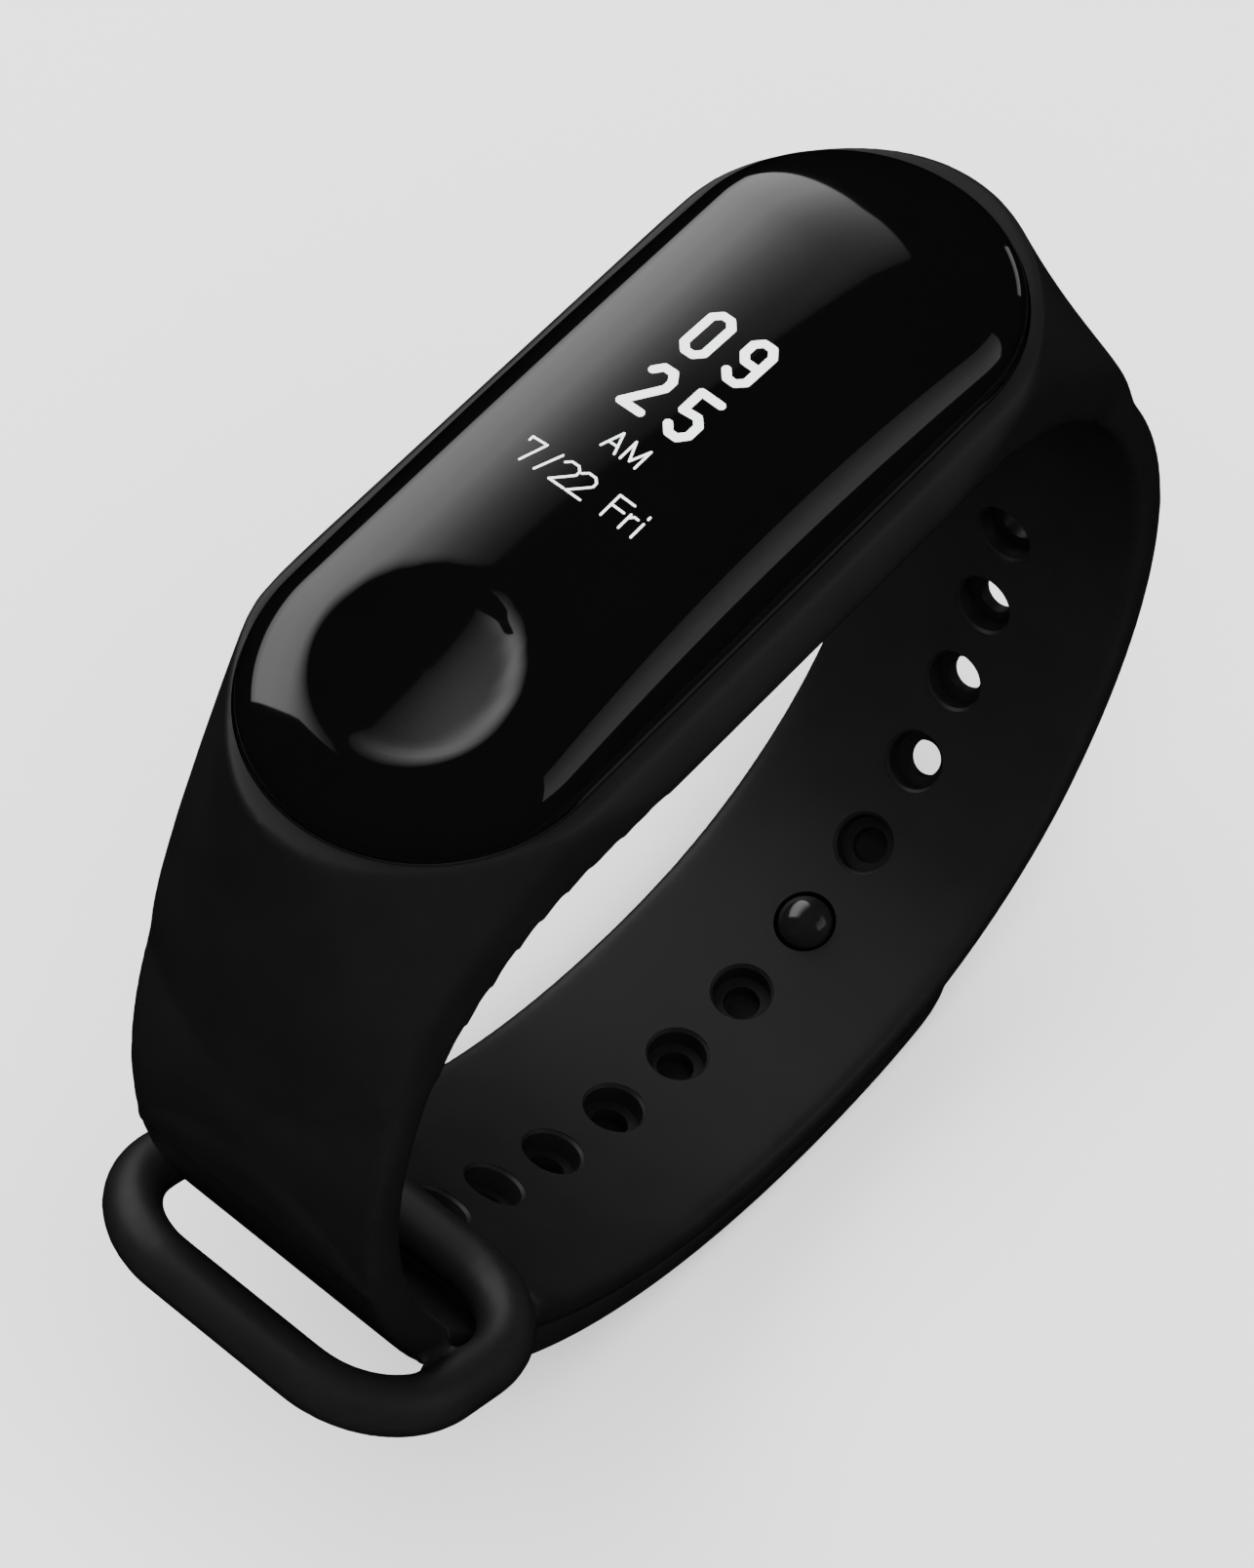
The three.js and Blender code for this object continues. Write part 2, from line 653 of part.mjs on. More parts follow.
function motorCase() {
  const top = motorBottom + motorHeight;
  const floor = motorBottom + motorWall;
  const can = disc(motorRadius, motorBottom, top, 24);
  const room = disc(motorRadius - motorWall, floor, top - motorWall, 24);
  const wireSlot = box(motorRadius - 2 * motorWall - 0.4, motorRadius + 1, -0.8, 0.8, floor, floor + 0.6);
  return cut(can, room, wireSlot).translate(motorX, 0, 0);
}

function motorShaft() {
  return disc(0.4, motorBottom + motorWall + 0.05, motorBottom + motorHeight - motorWall - 0.05, 12)
    .translate(motorX, 0, 0);
}

function motorRotor() {
  const weight = new THREE.Shape();
  weight.absarc(0, 0, rotorRadius, 0, Math.PI, false);
  weight.absarc(0, 0, 1.1, Math.PI, 2 * Math.PI, false);
  const bore = new THREE.Path();
  bore.absarc(0, 0, 0.6, 0, 2 * Math.PI, true);
  weight.holes.push(bore);
  return prism(weight, motorBottom + motorWall + 0.3, motorBottom + motorHeight - motorWall - 0.3)
    .translate(motorX, 0, 0);
}

function sensorBoard() {
  const plan = stadium(bumpHalfLength - shellWall - 0.3, bumpHalfWidth - shellWall - 0.3);
  return prism(plan, sensorBoardBottom, sensorBoardTop);
}

function lightBarrier() {
  const plan = rectangle(-1.75, 1.75, -2.2, 2.2);
  plan.holes.push(new THREE.Path(rectangle(-1.45, 1.45, -1.9, 1.9).getPoints()));
  return prism(plan, glassTop + 0.05, sensorBoardBottom - 0.03);
}

function sensorGlass() {
  return box(-glassLength / 2, glassLength / 2, -glassWidth / 2, glassWidth / 2, bumpBottom, glassTop);
}

function chargeContact(side) {
  return disc(contactRadius, bumpBottom, bumpBottom + 0.8, 14).translate(side * contactX, 0, 0);
}

function contactPost(side) {
  return disc(0.45, bumpBottom + 0.85, sensorBoardBottom - 0.05, 10).translate(side * contactX, 0, 0);
}

// ---- assembly -----------------------------------------------------------------------------------

function piece(name, look, geometry) {
  const mesh = new THREE.Mesh(geometry, new THREE.MeshStandardMaterial(looks[look]));
  mesh.name = name;
  return mesh;
}

const band = new THREE.Group();
band.add(
  piece('band_cradle', 'silicone', bandCradle()),
  piece('front_strap', 'silicone', frontStrap()),
  piece('perforated_strap', 'silicone', perforatedStrap()),
  piece('keeper_loop', 'silicone', keeperLoop()),
);

const claspTail = new THREE.Group();
claspTail.add(
  piece('tail_tab', 'silicone', tailTab()),
  piece('clasp_stud', 'gloss', claspStud()),
  piece('stud_cap', 'gloss', studCap()),
);

const chipTop = boardTop + 0.05;
const tracker = new THREE.Group();
tracker.add(
  piece('top_cover', 'gloss', topCover()),
  piece('bottom_shell', 'plastic', bottomShell()),
  piece('seal_ring', 'foam', sealRing()),
  piece('carrier_frame', 'plastic', carrierFrame()),
  piece('display_module', 'glass', displayModule()),
  piece('display_flex', 'gold', displayFlex()),
  piece('touch_electrode', 'gold', touchElectrode()),
  piece('battery_cell', 'foil', box(-batteryHalfLength, batteryHalfLength,
    -batteryHalfWidth, batteryHalfWidth, batteryBottom, batteryTop)),
  piece('battery_pad', 'foam', box(-batteryHalfLength, batteryHalfLength, -batteryHalfWidth,
    -batteryHalfWidth + 2, hollowFloor + 0.02, hollowFloor + 0.02 + batteryPadThickness)),
  piece('main_board', 'board', mainBoard()),
  piece('processor_chip', 'chip', box(boardX0 + 3, processorEnd, -4.2, 0.3, chipTop, processorTop)),
  piece('memory_chip', 'chip', box(boardX0 + 3, boardX0 + 6, 1, 4, chipTop, chipTop + 0.6)),
  piece('motion_sensor', 'chip', box(motionEnd - 1.6, motionEnd, -1, 1, chipTop, motionTop)),
  piece('shield_can', 'steel', shieldCan()),
  piece('antenna_strip', 'gold', antennaStrip()),
  piece('motor_case', 'steel', motorCase()),
  piece('motor_shaft', 'steel', motorShaft()),
  piece('motor_rotor', 'steel', motorRotor()),
  piece('sensor_board', 'board', sensorBoard()),
  piece('photodiode', 'chip',
    box(-1.2, 1.2, -1.6, 1.6, sensorBoardBottom - 0.65, sensorBoardBottom - 0.05)),
  piece('light_barrier', 'plastic', lightBarrier()),
  piece('sensor_window', 'glass', sensorGlass()),
);
for (const side of [-1, 1]) {
  const number = side < 0 ? 1 : 2;
  const middle = side * 2.9;
  tracker.add(
    piece(`green_led_${number}`, 'lamp', box(middle - 0.5, middle + 0.5, -0.8, 0.8, sensorBoardBottom - 0.6,
      sensorBoardBottom - 0.05)),
    piece(`charge_contact_${number}`, 'gold', chargeContact(side)),
    piece(`contact_post_${number}`, 'gold', contactPost(side)),
  );
}

const trackerBand = new THREE.Group();
trackerBand.add(band, claspTail, tracker);
trackerBand.updateMatrixWorld(true);
const extent = new THREE.Box3().setFromObject(trackerBand, true);
const middle = extent.getCenter(new THREE.Vector3());
trackerBand.position.set(-middle.x, -middle.y, -extent.min.z);

export default trackerBand;
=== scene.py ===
import json
from math import atan2, cos, hypot, pi, radians, sin, sqrt

import bmesh
import bpy
from mathutils import Matrix, Vector


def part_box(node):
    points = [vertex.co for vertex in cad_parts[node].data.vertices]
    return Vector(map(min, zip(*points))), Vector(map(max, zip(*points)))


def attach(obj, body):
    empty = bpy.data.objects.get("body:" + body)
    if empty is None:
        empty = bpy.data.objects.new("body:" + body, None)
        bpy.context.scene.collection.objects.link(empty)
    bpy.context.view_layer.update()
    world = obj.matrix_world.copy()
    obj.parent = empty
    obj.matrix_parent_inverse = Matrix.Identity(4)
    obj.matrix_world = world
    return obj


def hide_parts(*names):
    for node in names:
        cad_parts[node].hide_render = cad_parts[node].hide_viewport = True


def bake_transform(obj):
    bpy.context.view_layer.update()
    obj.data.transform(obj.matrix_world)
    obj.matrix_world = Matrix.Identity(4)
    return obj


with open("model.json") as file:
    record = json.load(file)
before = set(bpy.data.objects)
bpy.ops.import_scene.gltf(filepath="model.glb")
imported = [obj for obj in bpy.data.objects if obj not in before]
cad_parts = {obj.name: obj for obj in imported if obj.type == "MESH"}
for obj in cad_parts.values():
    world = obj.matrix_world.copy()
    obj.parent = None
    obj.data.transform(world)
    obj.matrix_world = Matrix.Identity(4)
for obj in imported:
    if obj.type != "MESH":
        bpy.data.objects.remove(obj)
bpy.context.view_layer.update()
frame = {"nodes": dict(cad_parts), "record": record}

# Everything is modelled in millimetres about the middle of the capsule's rim,
# and each finished mesh is then brought into the frame, which is in metres.
coverLow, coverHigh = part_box("top_cover")
rim = Vector(((coverLow.x + coverHigh.x) / 2, 0, coverLow.z))
toFrame = Matrix.Translation(rim) @ Matrix.Scale(0.001, 4)


def fromFrame(place):
    return (Vector(place) - rim) * 1000


def objectMode():
    if bpy.context.object and bpy.context.object.mode == "EDIT":
        bpy.ops.object.mode_set(mode="OBJECT")


def clearSelection():
    objectMode()
    bpy.ops.object.select_all(action="DESELECT")


def named(name):
    piece = bpy.context.object
    piece.name = name
    piece.data.name = name
    return piece


def choose(*pieces):
    clearSelection()
    for piece in pieces:
        piece.select_set(True)
    bpy.context.view_layer.objects.active = pieces[0]


def edit(piece):
    choose(piece)
    bpy.ops.object.mode_set(mode="EDIT")
    bpy.ops.mesh.select_all(action="SELECT")


def pickVertices(piece, wanted):
    mesh = bmesh.from_edit_mesh(piece.data)
    mesh.select_mode = {"VERT"}
    for vertex in mesh.verts:
        vertex.select_set(wanted(vertex.co))
    mesh.select_flush_mode()
    bmesh.update_edit_mesh(piece.data)


def closeUp(piece):
    # merges doubles, closes the ends and turns every face outwards
    edit(piece)
    bpy.ops.mesh.remove_doubles(threshold=0.0005)
    bpy.ops.mesh.select_all(action="SELECT")
    bpy.ops.mesh.fill_holes(sides=0)
    bpy.ops.mesh.select_all(action="SELECT")
    bpy.ops.mesh.normals_make_consistent(inside=False)
    objectMode()
    return piece


def applyModifier(piece, kind, **settings):
    choose(piece)
    modifier = piece.modifiers.new(kind.lower(), kind)
    for key, value in settings.items():
        setattr(modifier, key, value)
    bpy.ops.object.modifier_apply(modifier=modifier.name)
    return piece


def carve(piece, operation, *tools):
    for tool in tools:
        applyModifier(piece, "BOOLEAN", operation=operation, object=tool, solver="EXACT")
        bpy.data.objects.remove(tool)
    return piece


def joined(name, *pieces):
    choose(*pieces)
    bpy.ops.object.join()
    return named(name)


def smoothShade(piece, angle=40):
    choose(piece)
    bpy.ops.object.shade_smooth_by_angle(angle=radians(angle))


def finishPiece(piece, finish, body, slot, *replaced):
    piece.data.transform(toFrame)
    piece.data.materials.clear()
    piece.data.materials.append(finish)
    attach(piece, body)
    if replaced:
        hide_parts(*replaced)


def stadiumBlock(name, halfLength, halfWidth, low, high, corners=96):
    # a cylinder whose two halves are pulled apart
    clearSelection()
    bpy.ops.mesh.primitive_cylinder_add(vertices=corners, radius=halfWidth, depth=high - low,
                                        location=(0, 0, (low + high) / 2),
                                        rotation=(0, 0, pi / corners))
    block = named(name)
    bpy.ops.object.transform_apply(location=True, rotation=True, scale=True)
    edit(block)
    for side in (-1, 1):
        pickVertices(block, lambda place: place.x * side > 0)
        bpy.ops.transform.translate(value=(side * (halfLength - halfWidth), 0, 0))
    objectMode()
    return block


def outlineBlock(name, outline, halfWidth):
    # an outline in X and Z, extruded along Y
    clearSelection()
    bpy.ops.mesh.primitive_circle_add(vertices=len(outline), fill_type="NGON",
                                      location=(0, 0, 0))
    block = named(name)
    for vertex, (x, z) in zip(block.data.vertices, outline):
        vertex.co = (x, -halfWidth, z)
    edit(block)
    bpy.ops.mesh.extrude_region_move(
        TRANSFORM_OT_translate={"value": (0, 2 * halfWidth, 0)})
    return closeUp(block)


class Walker:
    # walks the wrist line, a chain of arcs that the strap and the arm follow, seen from the side;
    # bend is 1 for a left turn and -1 for a right turn
    def __init__(self, x, z, heading, bend):
        self.x, self.z, self.heading, self.bend = x, z, heading, bend

    def normal(self):
        # away from the middle of the band
        return self.bend * sin(self.heading), -self.bend * cos(self.heading)

    def centre(self, radius):
        nx, nz = self.normal()
        return self.x - nx * radius, self.z - nz * radius

    def turn(self, radius, angle):
        cx, cz = self.centre(radius)
        self.heading += self.bend * angle
        nx, nz = self.normal()
        self.x, self.z = cx + nx * radius, cz + nz * radius
        return self

    def offset(self, distance):
        nx, nz = self.normal()
        return self.x + nx * distance, self.z + nz * distance


bandShape = dict(
    underside=-2.65, flatFront=-8.6, flatBack=9.3,
    strapArcs=[(12.9, 34.5), (32.6, 87.1), (19.1, 54.7), (33.5, 55.0)],
    armArcs=[(13.65, 45.0), (27.9, 51.8)],
    strapWidth=16.8, strapThickness=2.1, armWidth=16.0, armThickness=2.3,
    edgeRound=0.5, arcStep=2.0,
    rimLength=24.4, rimWidth=9.5, wideHalf=10.45, wideDepth=2.2,
    squareBy=14.0, squareRound=0.9, backSlope=0.327, frontSlope=0.18,
    wideEnd=9.0, backWaist=30.0, frontWaist=27.0,
    blockHalf=14.0, blockStep=2.0, outerLow=-30.0, innerLow=-34.0,
    skirtBulges=6, skirtSteps=14, skirtDepth=38.0,
    gap=0.3, voxel=0.3, smoothing=12,
)


def strapWalker(distance=None):
    walker = Walker(bandShape["flatBack"], bandShape["underside"], 0, -1)
    left = 1e9 if distance is None else distance
    for radius, angle in bandShape["strapArcs"]:
        share = min(radians(angle), left / radius)
        walker.turn(radius, share)
        left -= share * radius
    return walker


def sweptBar(name, walker, arcs, lift, thickness, width):
    # a rounded flat bar spun through each arc in turn; lift is its inner face off the line
    clearSelection()
    x, z = walker.offset(lift + thickness / 2)
    bpy.ops.mesh.primitive_plane_add(size=1, location=(x, 0, z),
                                     rotation=(0, pi / 2 - walker.heading, 0))
    bar = named(name)
    bar.scale = (thickness, width, 1)
    bpy.ops.object.transform_apply(location=True, rotation=True, scale=True)
    edit(bar)
    bpy.ops.mesh.bevel(offset=bandShape["edgeRound"], segments=3, affect="VERTICES")
    for radius, angle in arcs:
        cx, cz = walker.centre(radius)
        steps = max(2, round(angle / bandShape["arcStep"]))
        bpy.ops.mesh.spin(steps=steps, angle=radians(angle) * walker.bend,
                          center=(cx, 0, cz), axis=(0, 1, 0))
        walker.turn(radius, radians(angle))
    return bar


def twoArcs(walker, goalX, goalZ, goalHeading):
    # two equal turns that lead from the walker to the goal
    half = (goalHeading - walker.heading) / 2 * walker.bend
    columns = []
    for radii in ((1, 0), (0, 1)):
        probe = Walker(0, 0, walker.heading, walker.bend)
        probe.turn(radii[0], half)
        probe.turn(radii[1], half)
        columns.append((probe.x, probe.z))
    (a, c), (b, d) = columns
    dx, dz = goalX - walker.x, goalZ - walker.z
    size = a * d - b * c
    turnDegrees = half * 180 / pi
    return [((dx * d - b * dz) / size, turnDegrees), ((a * dz - c * dx) / size, turnDegrees)]


# the end of the strap, and the line of the tail that lies outside it
strapEnd = strapWalker()
tailLift = bandShape["strapThickness"] + bandShape["gap"]
tailX, tailZ = strapEnd.offset(tailLift)


def armWalker():
    return Walker(bandShape["flatFront"], bandShape["underside"], pi, 1)


def armCrossing():
    walker = armWalker()
    for radius, angle in bandShape["armArcs"]:
        walker.turn(radius, radians(angle))
    return walker, twoArcs(walker, tailX, tailZ, strapEnd.heading + 3 * pi)


def shoulderLine(walker, arcs, thickness, rimX):
    # the outside and the inside of the band below one end of the rim; the outside starts where
    # a straight shoulder off the rim runs tangent into it
    shape = bandShape
    side = 1 if rimX > 0 else -1
    spots = []
    for radius, angle in arcs:
        for _ in range(round(angle / shape["blockStep"])):
            walker.turn(radius, radians(shape["blockStep"]))
            spots.append((walker.offset(thickness), walker.offset(0)))
    spots = [spot for spot in spots if spot[0][1] > shape["innerLow"]]
    widest = max(range(len(spots)),
                 key=lambda i: atan2(side * (spots[i][0][0] - rimX), -spots[i][0][1]))
    low = max(i for i in range(len(spots)) if spots[i][0][1] > shape["outerLow"])
    outer = [spot[0] for spot in spots[widest:low]]
    inner = [spot[1] for spot in spots[:low]]
    return outer, inner


def shoulderBlock():
    shape = bandShape
    back = Walker(shape["flatBack"], shape["underside"], 0, -1)
    backOuter, backInner = shoulderLine(back, shape["strapArcs"][:2],
                                        shape["strapThickness"], shape["rimLength"])
    frontOuter, frontInner = shoulderLine(armWalker(), shape["armArcs"],
                                          shape["armThickness"], -shape["rimLength"])
    middle = [(shape["flatFront"], shape["underside"]), (shape["flatBack"], shape["underside"])]
    outline = (frontInner[::-1] + middle + backInner + backOuter[::-1]
               + [(shape["rimLength"], 0), (-shape["rimLength"], 0)] + frontOuter)
    return outlineBlock("shoulders", outline, shape["blockHalf"])


def easeBetween(start, end, share):
    share = min(1, max(0, share))
    return start + (end - start) * share * share * (3 - 2 * share)


def planHalf(x):
    # half the band's width from above, wide at the capsule and narrow at both straps
    shape = bandShape
    narrow = (shape["strapWidth"] if x > 0 else shape["armWidth"]) / 2 - shape["edgeRound"] / 2
    waist = shape["backWaist"] if x > 0 else shape["frontWaist"]
    share = (abs(x) - shape["wideEnd"]) / (waist - shape["wideEnd"])
    return easeBetween(shape["wideHalf"], narrow, share)


def skirtLevel(depth, steps=40):
    # the outline at one depth: round ends at the rim that turn square lower down
    shape = bandShape
    share = min(1, depth / shape["squareBy"])
    rounding = shape["rimWidth"] * (1 - share) ** 2 + shape["squareRound"]
    bulge = sin(min(1, depth / shape["wideDepth"]) * pi / 2)
    wall = shape["rimWidth"] + (shape["wideHalf"] - shape["rimWidth"]) * bulge
    outline = []
    for side in (1, -1):
        slope = shape["backSlope"] if side > 0 else shape["frontSlope"]
        reach = shape["rimLength"] + depth * slope
        for i in range(-steps, steps + 1):
            turn = pi / 2 * i / steps
            x = reach * cos(turn)
            past = max(0, x - reach + rounding) / rounding
            y = min(wall, planHalf(side * x)) * sqrt(max(0, 1 - past * past))
            outline.append((side * x, y if side * i > 0 else -y))
    return outline


def skirtBlock():
    # a stack of outlines, drawn out downwards one by one
    shape = bandShape
    start = skirtLevel(0)
    clearSelection()
    bpy.ops.mesh.primitive_circle_add(vertices=len(start), fill_type="NGON")
    skirt = named("skirt")
    edit(skirt)
    upper, lower = shape["skirtBulges"], shape["skirtSteps"]
    depths = [shape["wideDepth"] * i / upper for i in range(upper + 1)]
    drop = shape["squareBy"] - shape["wideDepth"]
    depths += [shape["wideDepth"] + drop * i / lower for i in range(1, lower + 1)]
    depths.append(shape["skirtDepth"])
    for i, depth in enumerate(depths):
        if i:
            bpy.ops.mesh.extrude_region_move()
        mesh = bmesh.from_edit_mesh(skirt.data)
        ring = sorted((v for v in mesh.verts if v.select), key=lambda v: v.index)
        for vertex, (x, y) in zip(ring, skirtLevel(depth)):
            vertex.co = (x, y, -depth)
        bmesh.update_edit_mesh(skirt.data)
    return closeUp(skirt)


capsuleShape = dict(
    halfLength=(coverHigh.x - coverLow.x) * 500, halfWidth=(coverHigh.y - coverLow.y) * 500,
    depth=7.5, floor=1.2, fit=0.12, wall=1.0,
    windowLength=9.8, windowWidth=5.3, bumpFit=0.3, bumpLow=-3.55,
    archStep=2.5, toolLow=-20.0, toolHalf=40.0, toolDepth=20.0,
    paneFit=0.2, paneRound=0.12, boreFit=0.1, edge=0.25,
)


def capsuleHull(name, grow, high, lift=None):
    # the capsule below its rim: a stadium whose underside is arched like the wrist line
    shape = capsuleShape
    lift = shape["floor"] + shape["fit"] - grow if lift is None else lift
    walker = Walker(bandShape["flatBack"], bandShape["underside"], 0, -1)
    arch = [(bandShape["flatBack"], bandShape["underside"] + lift)]
    for radius, angle in bandShape["strapArcs"][:2]:
        for _ in range(round(angle / shape["archStep"])):
            walker.turn(radius, radians(shape["archStep"]))
            arch.append(walker.offset(lift))
    low = -shape["depth"] - grow
    inside = [spot for spot in arch if spot[1] > low]
    beyond = arch[len(inside)]
    share = (low - inside[-1][1]) / (beyond[1] - inside[-1][1])
    inside.append((inside[-1][0] + (beyond[0] - inside[-1][0]) * share, low))
    inside += [(shape["toolHalf"], low), (shape["toolHalf"], high)]
    outline = inside + [(-x, z) for x, z in inside[::-1]]
    hull = stadiumBlock(name, shape["halfLength"] + grow, shape["halfWidth"] + grow,
                        shape["toolLow"], high)
    return carve(hull, "INTERSECT", outlineBlock("archTool", outline, shape["toolDepth"]))


loopShape = dict(length=13.66, width=19.9, bar=3.15, corner=5.4, lean=23.5, ringSteps=64)


def keeperRing():
    # a ring whose four quarters are pulled apart into a rounded frame
    shape = loopShape
    clearSelection()
    bpy.ops.mesh.primitive_torus_add(major_radius=shape["corner"], minor_radius=shape["bar"] / 2,
                                     major_segments=shape["ringSteps"], minor_segments=24,
                                     rotation=(0, 0, pi / shape["ringSteps"]))
    ring = named("keeperRing")
    bpy.ops.object.transform_apply(location=True, rotation=True, scale=True)
    pulls = ((0, shape["length"] / 2 - shape["corner"]), (1, shape["width"] / 2 - shape["corner"]))
    edit(ring)
    for axis, pull in pulls:
        for side in (-1, 1):
            pickVertices(ring, lambda place: place[axis] * side > 0)
            move = Vector((0, 0, 0))
            move[axis] = side * pull
            bpy.ops.transform.translate(value=move)
    objectMode()
    low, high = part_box("keeper_loop")
    middle = fromFrame((Vector(low) + Vector(high)) / 2)
    tilt = strapEnd.heading + radians(shape["lean"])
    ring.data.transform(Matrix.Translation(middle) @ Matrix.Rotation(-tilt, 4, "Y"))
    return ring


holeShape = dict(count=12, pitch=5.6, first=43.9, mouth=1.66, neck=1.05, depth=1.3,
                 chamfer=0.16, lip=0.02, clasped=5, passing=1.8)


def holeTool(index):
    # one stepped punch; the clasped hole lets the head of the stud pass
    shape = holeShape
    top = bandShape["strapThickness"] + 1
    if index == shape["clasped"]:
        steps = [(-1, shape["passing"]), (top, shape["passing"])]
    else:
        entry = shape["mouth"] + shape["chamfer"]
        steps = [(-1, entry), (shape["lip"], entry), (shape["lip"] + shape["chamfer"], shape["mouth"]),
                 (shape["depth"], shape["mouth"]), (shape["depth"], shape["neck"]), (top, shape["neck"])]
    clearSelection()
    bpy.ops.mesh.primitive_circle_add(vertices=40, radius=steps[0][1], fill_type="NGON",
                                      location=(0, 0, steps[0][0]))
    punch = named("punch")
    bpy.ops.object.transform_apply(location=True, rotation=True, scale=True)
    edit(punch)
    for (low, wide), (high, narrow) in zip(steps, steps[1:]):
        bpy.ops.mesh.extrude_region_move(TRANSFORM_OT_translate={"value": (0, 0, high - low)})
        factor = narrow / wide
        bpy.ops.transform.resize(value=(factor, factor, 1))
    closeUp(punch)
    walker = strapWalker(shape["first"] + index * shape["pitch"])
    nx, nz = walker.normal()
    punch.data.transform(Matrix.Translation((walker.x, 0, walker.z))
                         @ Matrix.Rotation(atan2(nx, nz), 4, "Y"))
    return punch


def makeBand(finish):
    shape = bandShape
    shoulders = shoulderBlock()
    carve(shoulders, "INTERSECT", skirtBlock())
    start = Walker(shape["flatBack"], shape["underside"], 0, -1)
    strap = closeUp(sweptBar("strap", start, shape["strapArcs"], 0,
                             shape["strapThickness"], shape["strapWidth"]))
    _, crossing = armCrossing()
    arm = closeUp(sweptBar("arm", armWalker(), shape["armArcs"] + crossing[:1], 0,
                           shape["armThickness"], shape["armWidth"]))
    band = joined("bandMoulding", shoulders, strap, arm, keeperRing())
    band.data.remesh_voxel_size = shape["voxel"]
    choose(band)
    bpy.ops.object.voxel_remesh()
    applyModifier(band, "SMOOTH", factor=0.5, iterations=shape["smoothing"])
    capsule = capsuleShape
    window = stadiumBlock("window", capsule["windowLength"], capsule["windowWidth"], -6, 1)
    pocket = carve(capsuleHull("pocket", capsule["fit"], 1), "UNION", window)
    punches = [holeTool(index) for index in range(holeShape["count"])]
    carve(band, "DIFFERENCE", pocket, joined("punches", *punches))
    smoothShade(band, 35)
    finishPiece(band, finish, "band", "silicone",
                "band_cradle", "front_strap", "perforated_strap", "keeper_loop")
    print("band moulding", len(band.data.polygons), "faces")


tailShape = dict(tip=8.1, tipSteps=14, tipTurn=88, slack=0.02, stud=0.95, seat=2.95, seatDepth=0.7,
                 blend=3.0)


def makeTail(finish):
    # the rest of the arm, from inside the loop to the rounded tip past the stud
    shape = bandShape
    start, crossing = armCrossing()
    start.turn(crossing[0][0], radians(crossing[0][1]))
    studDistance = holeShape["first"] + holeShape["clasped"] * holeShape["pitch"]
    studPlace = strapWalker(studDistance)
    reversedArcs = []
    left = sum(radius * radians(angle) for radius, angle in shape["strapArcs"]) - studDistance
    for radius, angle in shape["strapArcs"][::-1]:
        share = min(angle, left / radius * 180 / pi)
        if share > 0:
            reversedArcs.append((radius + tailLift, share))
            left -= radius * radians(share)
    tail = sweptBar("tail", start, [crossing[1]] + reversedArcs, 0,
                    shape["armThickness"] - tailShape["slack"], shape["armWidth"] - tailShape["slack"])
    radius = shape["strapArcs"][1][0] + tailLift
    cx, cz = start.centre(radius)
    width, reach = 1.0, 0.0
    # the bar narrows step by step into a round tip
    for i in range(1, tailShape["tipSteps"] + 1):
        turn = radians(tailShape["tipTurn"]) * i / tailShape["tipSteps"]
        ahead = tailShape["tip"] * sin(turn)
        bpy.ops.mesh.spin(steps=1, angle=(ahead - reach) / radius, center=(cx, 0, cz),
                          axis=(0, 1, 0))
        bpy.ops.transform.resize(value=(1, cos(turn) / width, 1))
        width, reach = cos(turn), ahead
    closeUp(tail)
    clearSelection()
    bpy.ops.mesh.primitive_cylinder_add(vertices=40, radius=tailShape["stud"], depth=8)
    bore = named("bore")
    clearSelection()
    top = tailLift + shape["armThickness"]
    bpy.ops.mesh.primitive_cylinder_add(vertices=64, radius=tailShape["seat"], depth=2,
                                        location=(0, 0, top - tailShape["seatDepth"] + 1))
    seat = named("seat")
    bpy.ops.object.transform_apply(location=True, rotation=True, scale=True)
    nx, nz = studPlace.normal()
    for tool in (bore, seat):
        tool.data.transform(Matrix.Translation((studPlace.x, 0, studPlace.z))
                            @ Matrix.Rotation(atan2(nx, nz), 4, "Y"))
    carve(tail, "DIFFERENCE", bore, seat)
    smoothShade(tail, 35)
    tail.data.transform(toFrame)
    tail.data.materials.clear()
    tail.data.materials.append(finish)
    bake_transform(tail)
    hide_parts("tail_tab")
    print("tail strip", len(tail.data.polygons), "faces")


studShape = dict(capRadius=1.6, capLow=-1.1, capHigh=0.4, domeShare=0.88, domeSteps=10, shank=0.85,
                 shankTop=0.5, base=2.8, baseThickness=0.6, edge=0.1, rimWidth=0.7, sink=0.08)


def turnedPiece(name, profile, steps=48):
    # an edge chain spun a full turn about Z
    clearSelection()
    bpy.ops.mesh.primitive_circle_add(vertices=len(profile), fill_type="NOTHING")
    turned = named(name)
    for vertex, (reach, high) in zip(turned.data.vertices, profile):
        vertex.co = (reach, 0, high)
    edit(turned)
    pickVertices(turned, lambda place: place.x < 1e-6)
    mesh = bmesh.from_edit_mesh(turned.data)
    for joint in [line for line in mesh.edges if all(v.co.x < 1e-6 for v in line.verts)]:
        mesh.edges.remove(joint)
    bmesh.update_edit_mesh(turned.data)
    bpy.ops.mesh.select_all(action="SELECT")
    bpy.ops.mesh.spin(steps=steps, angle=2 * pi, center=(0, 0, 0), axis=(0, 0, 1))
    return closeUp(turned)


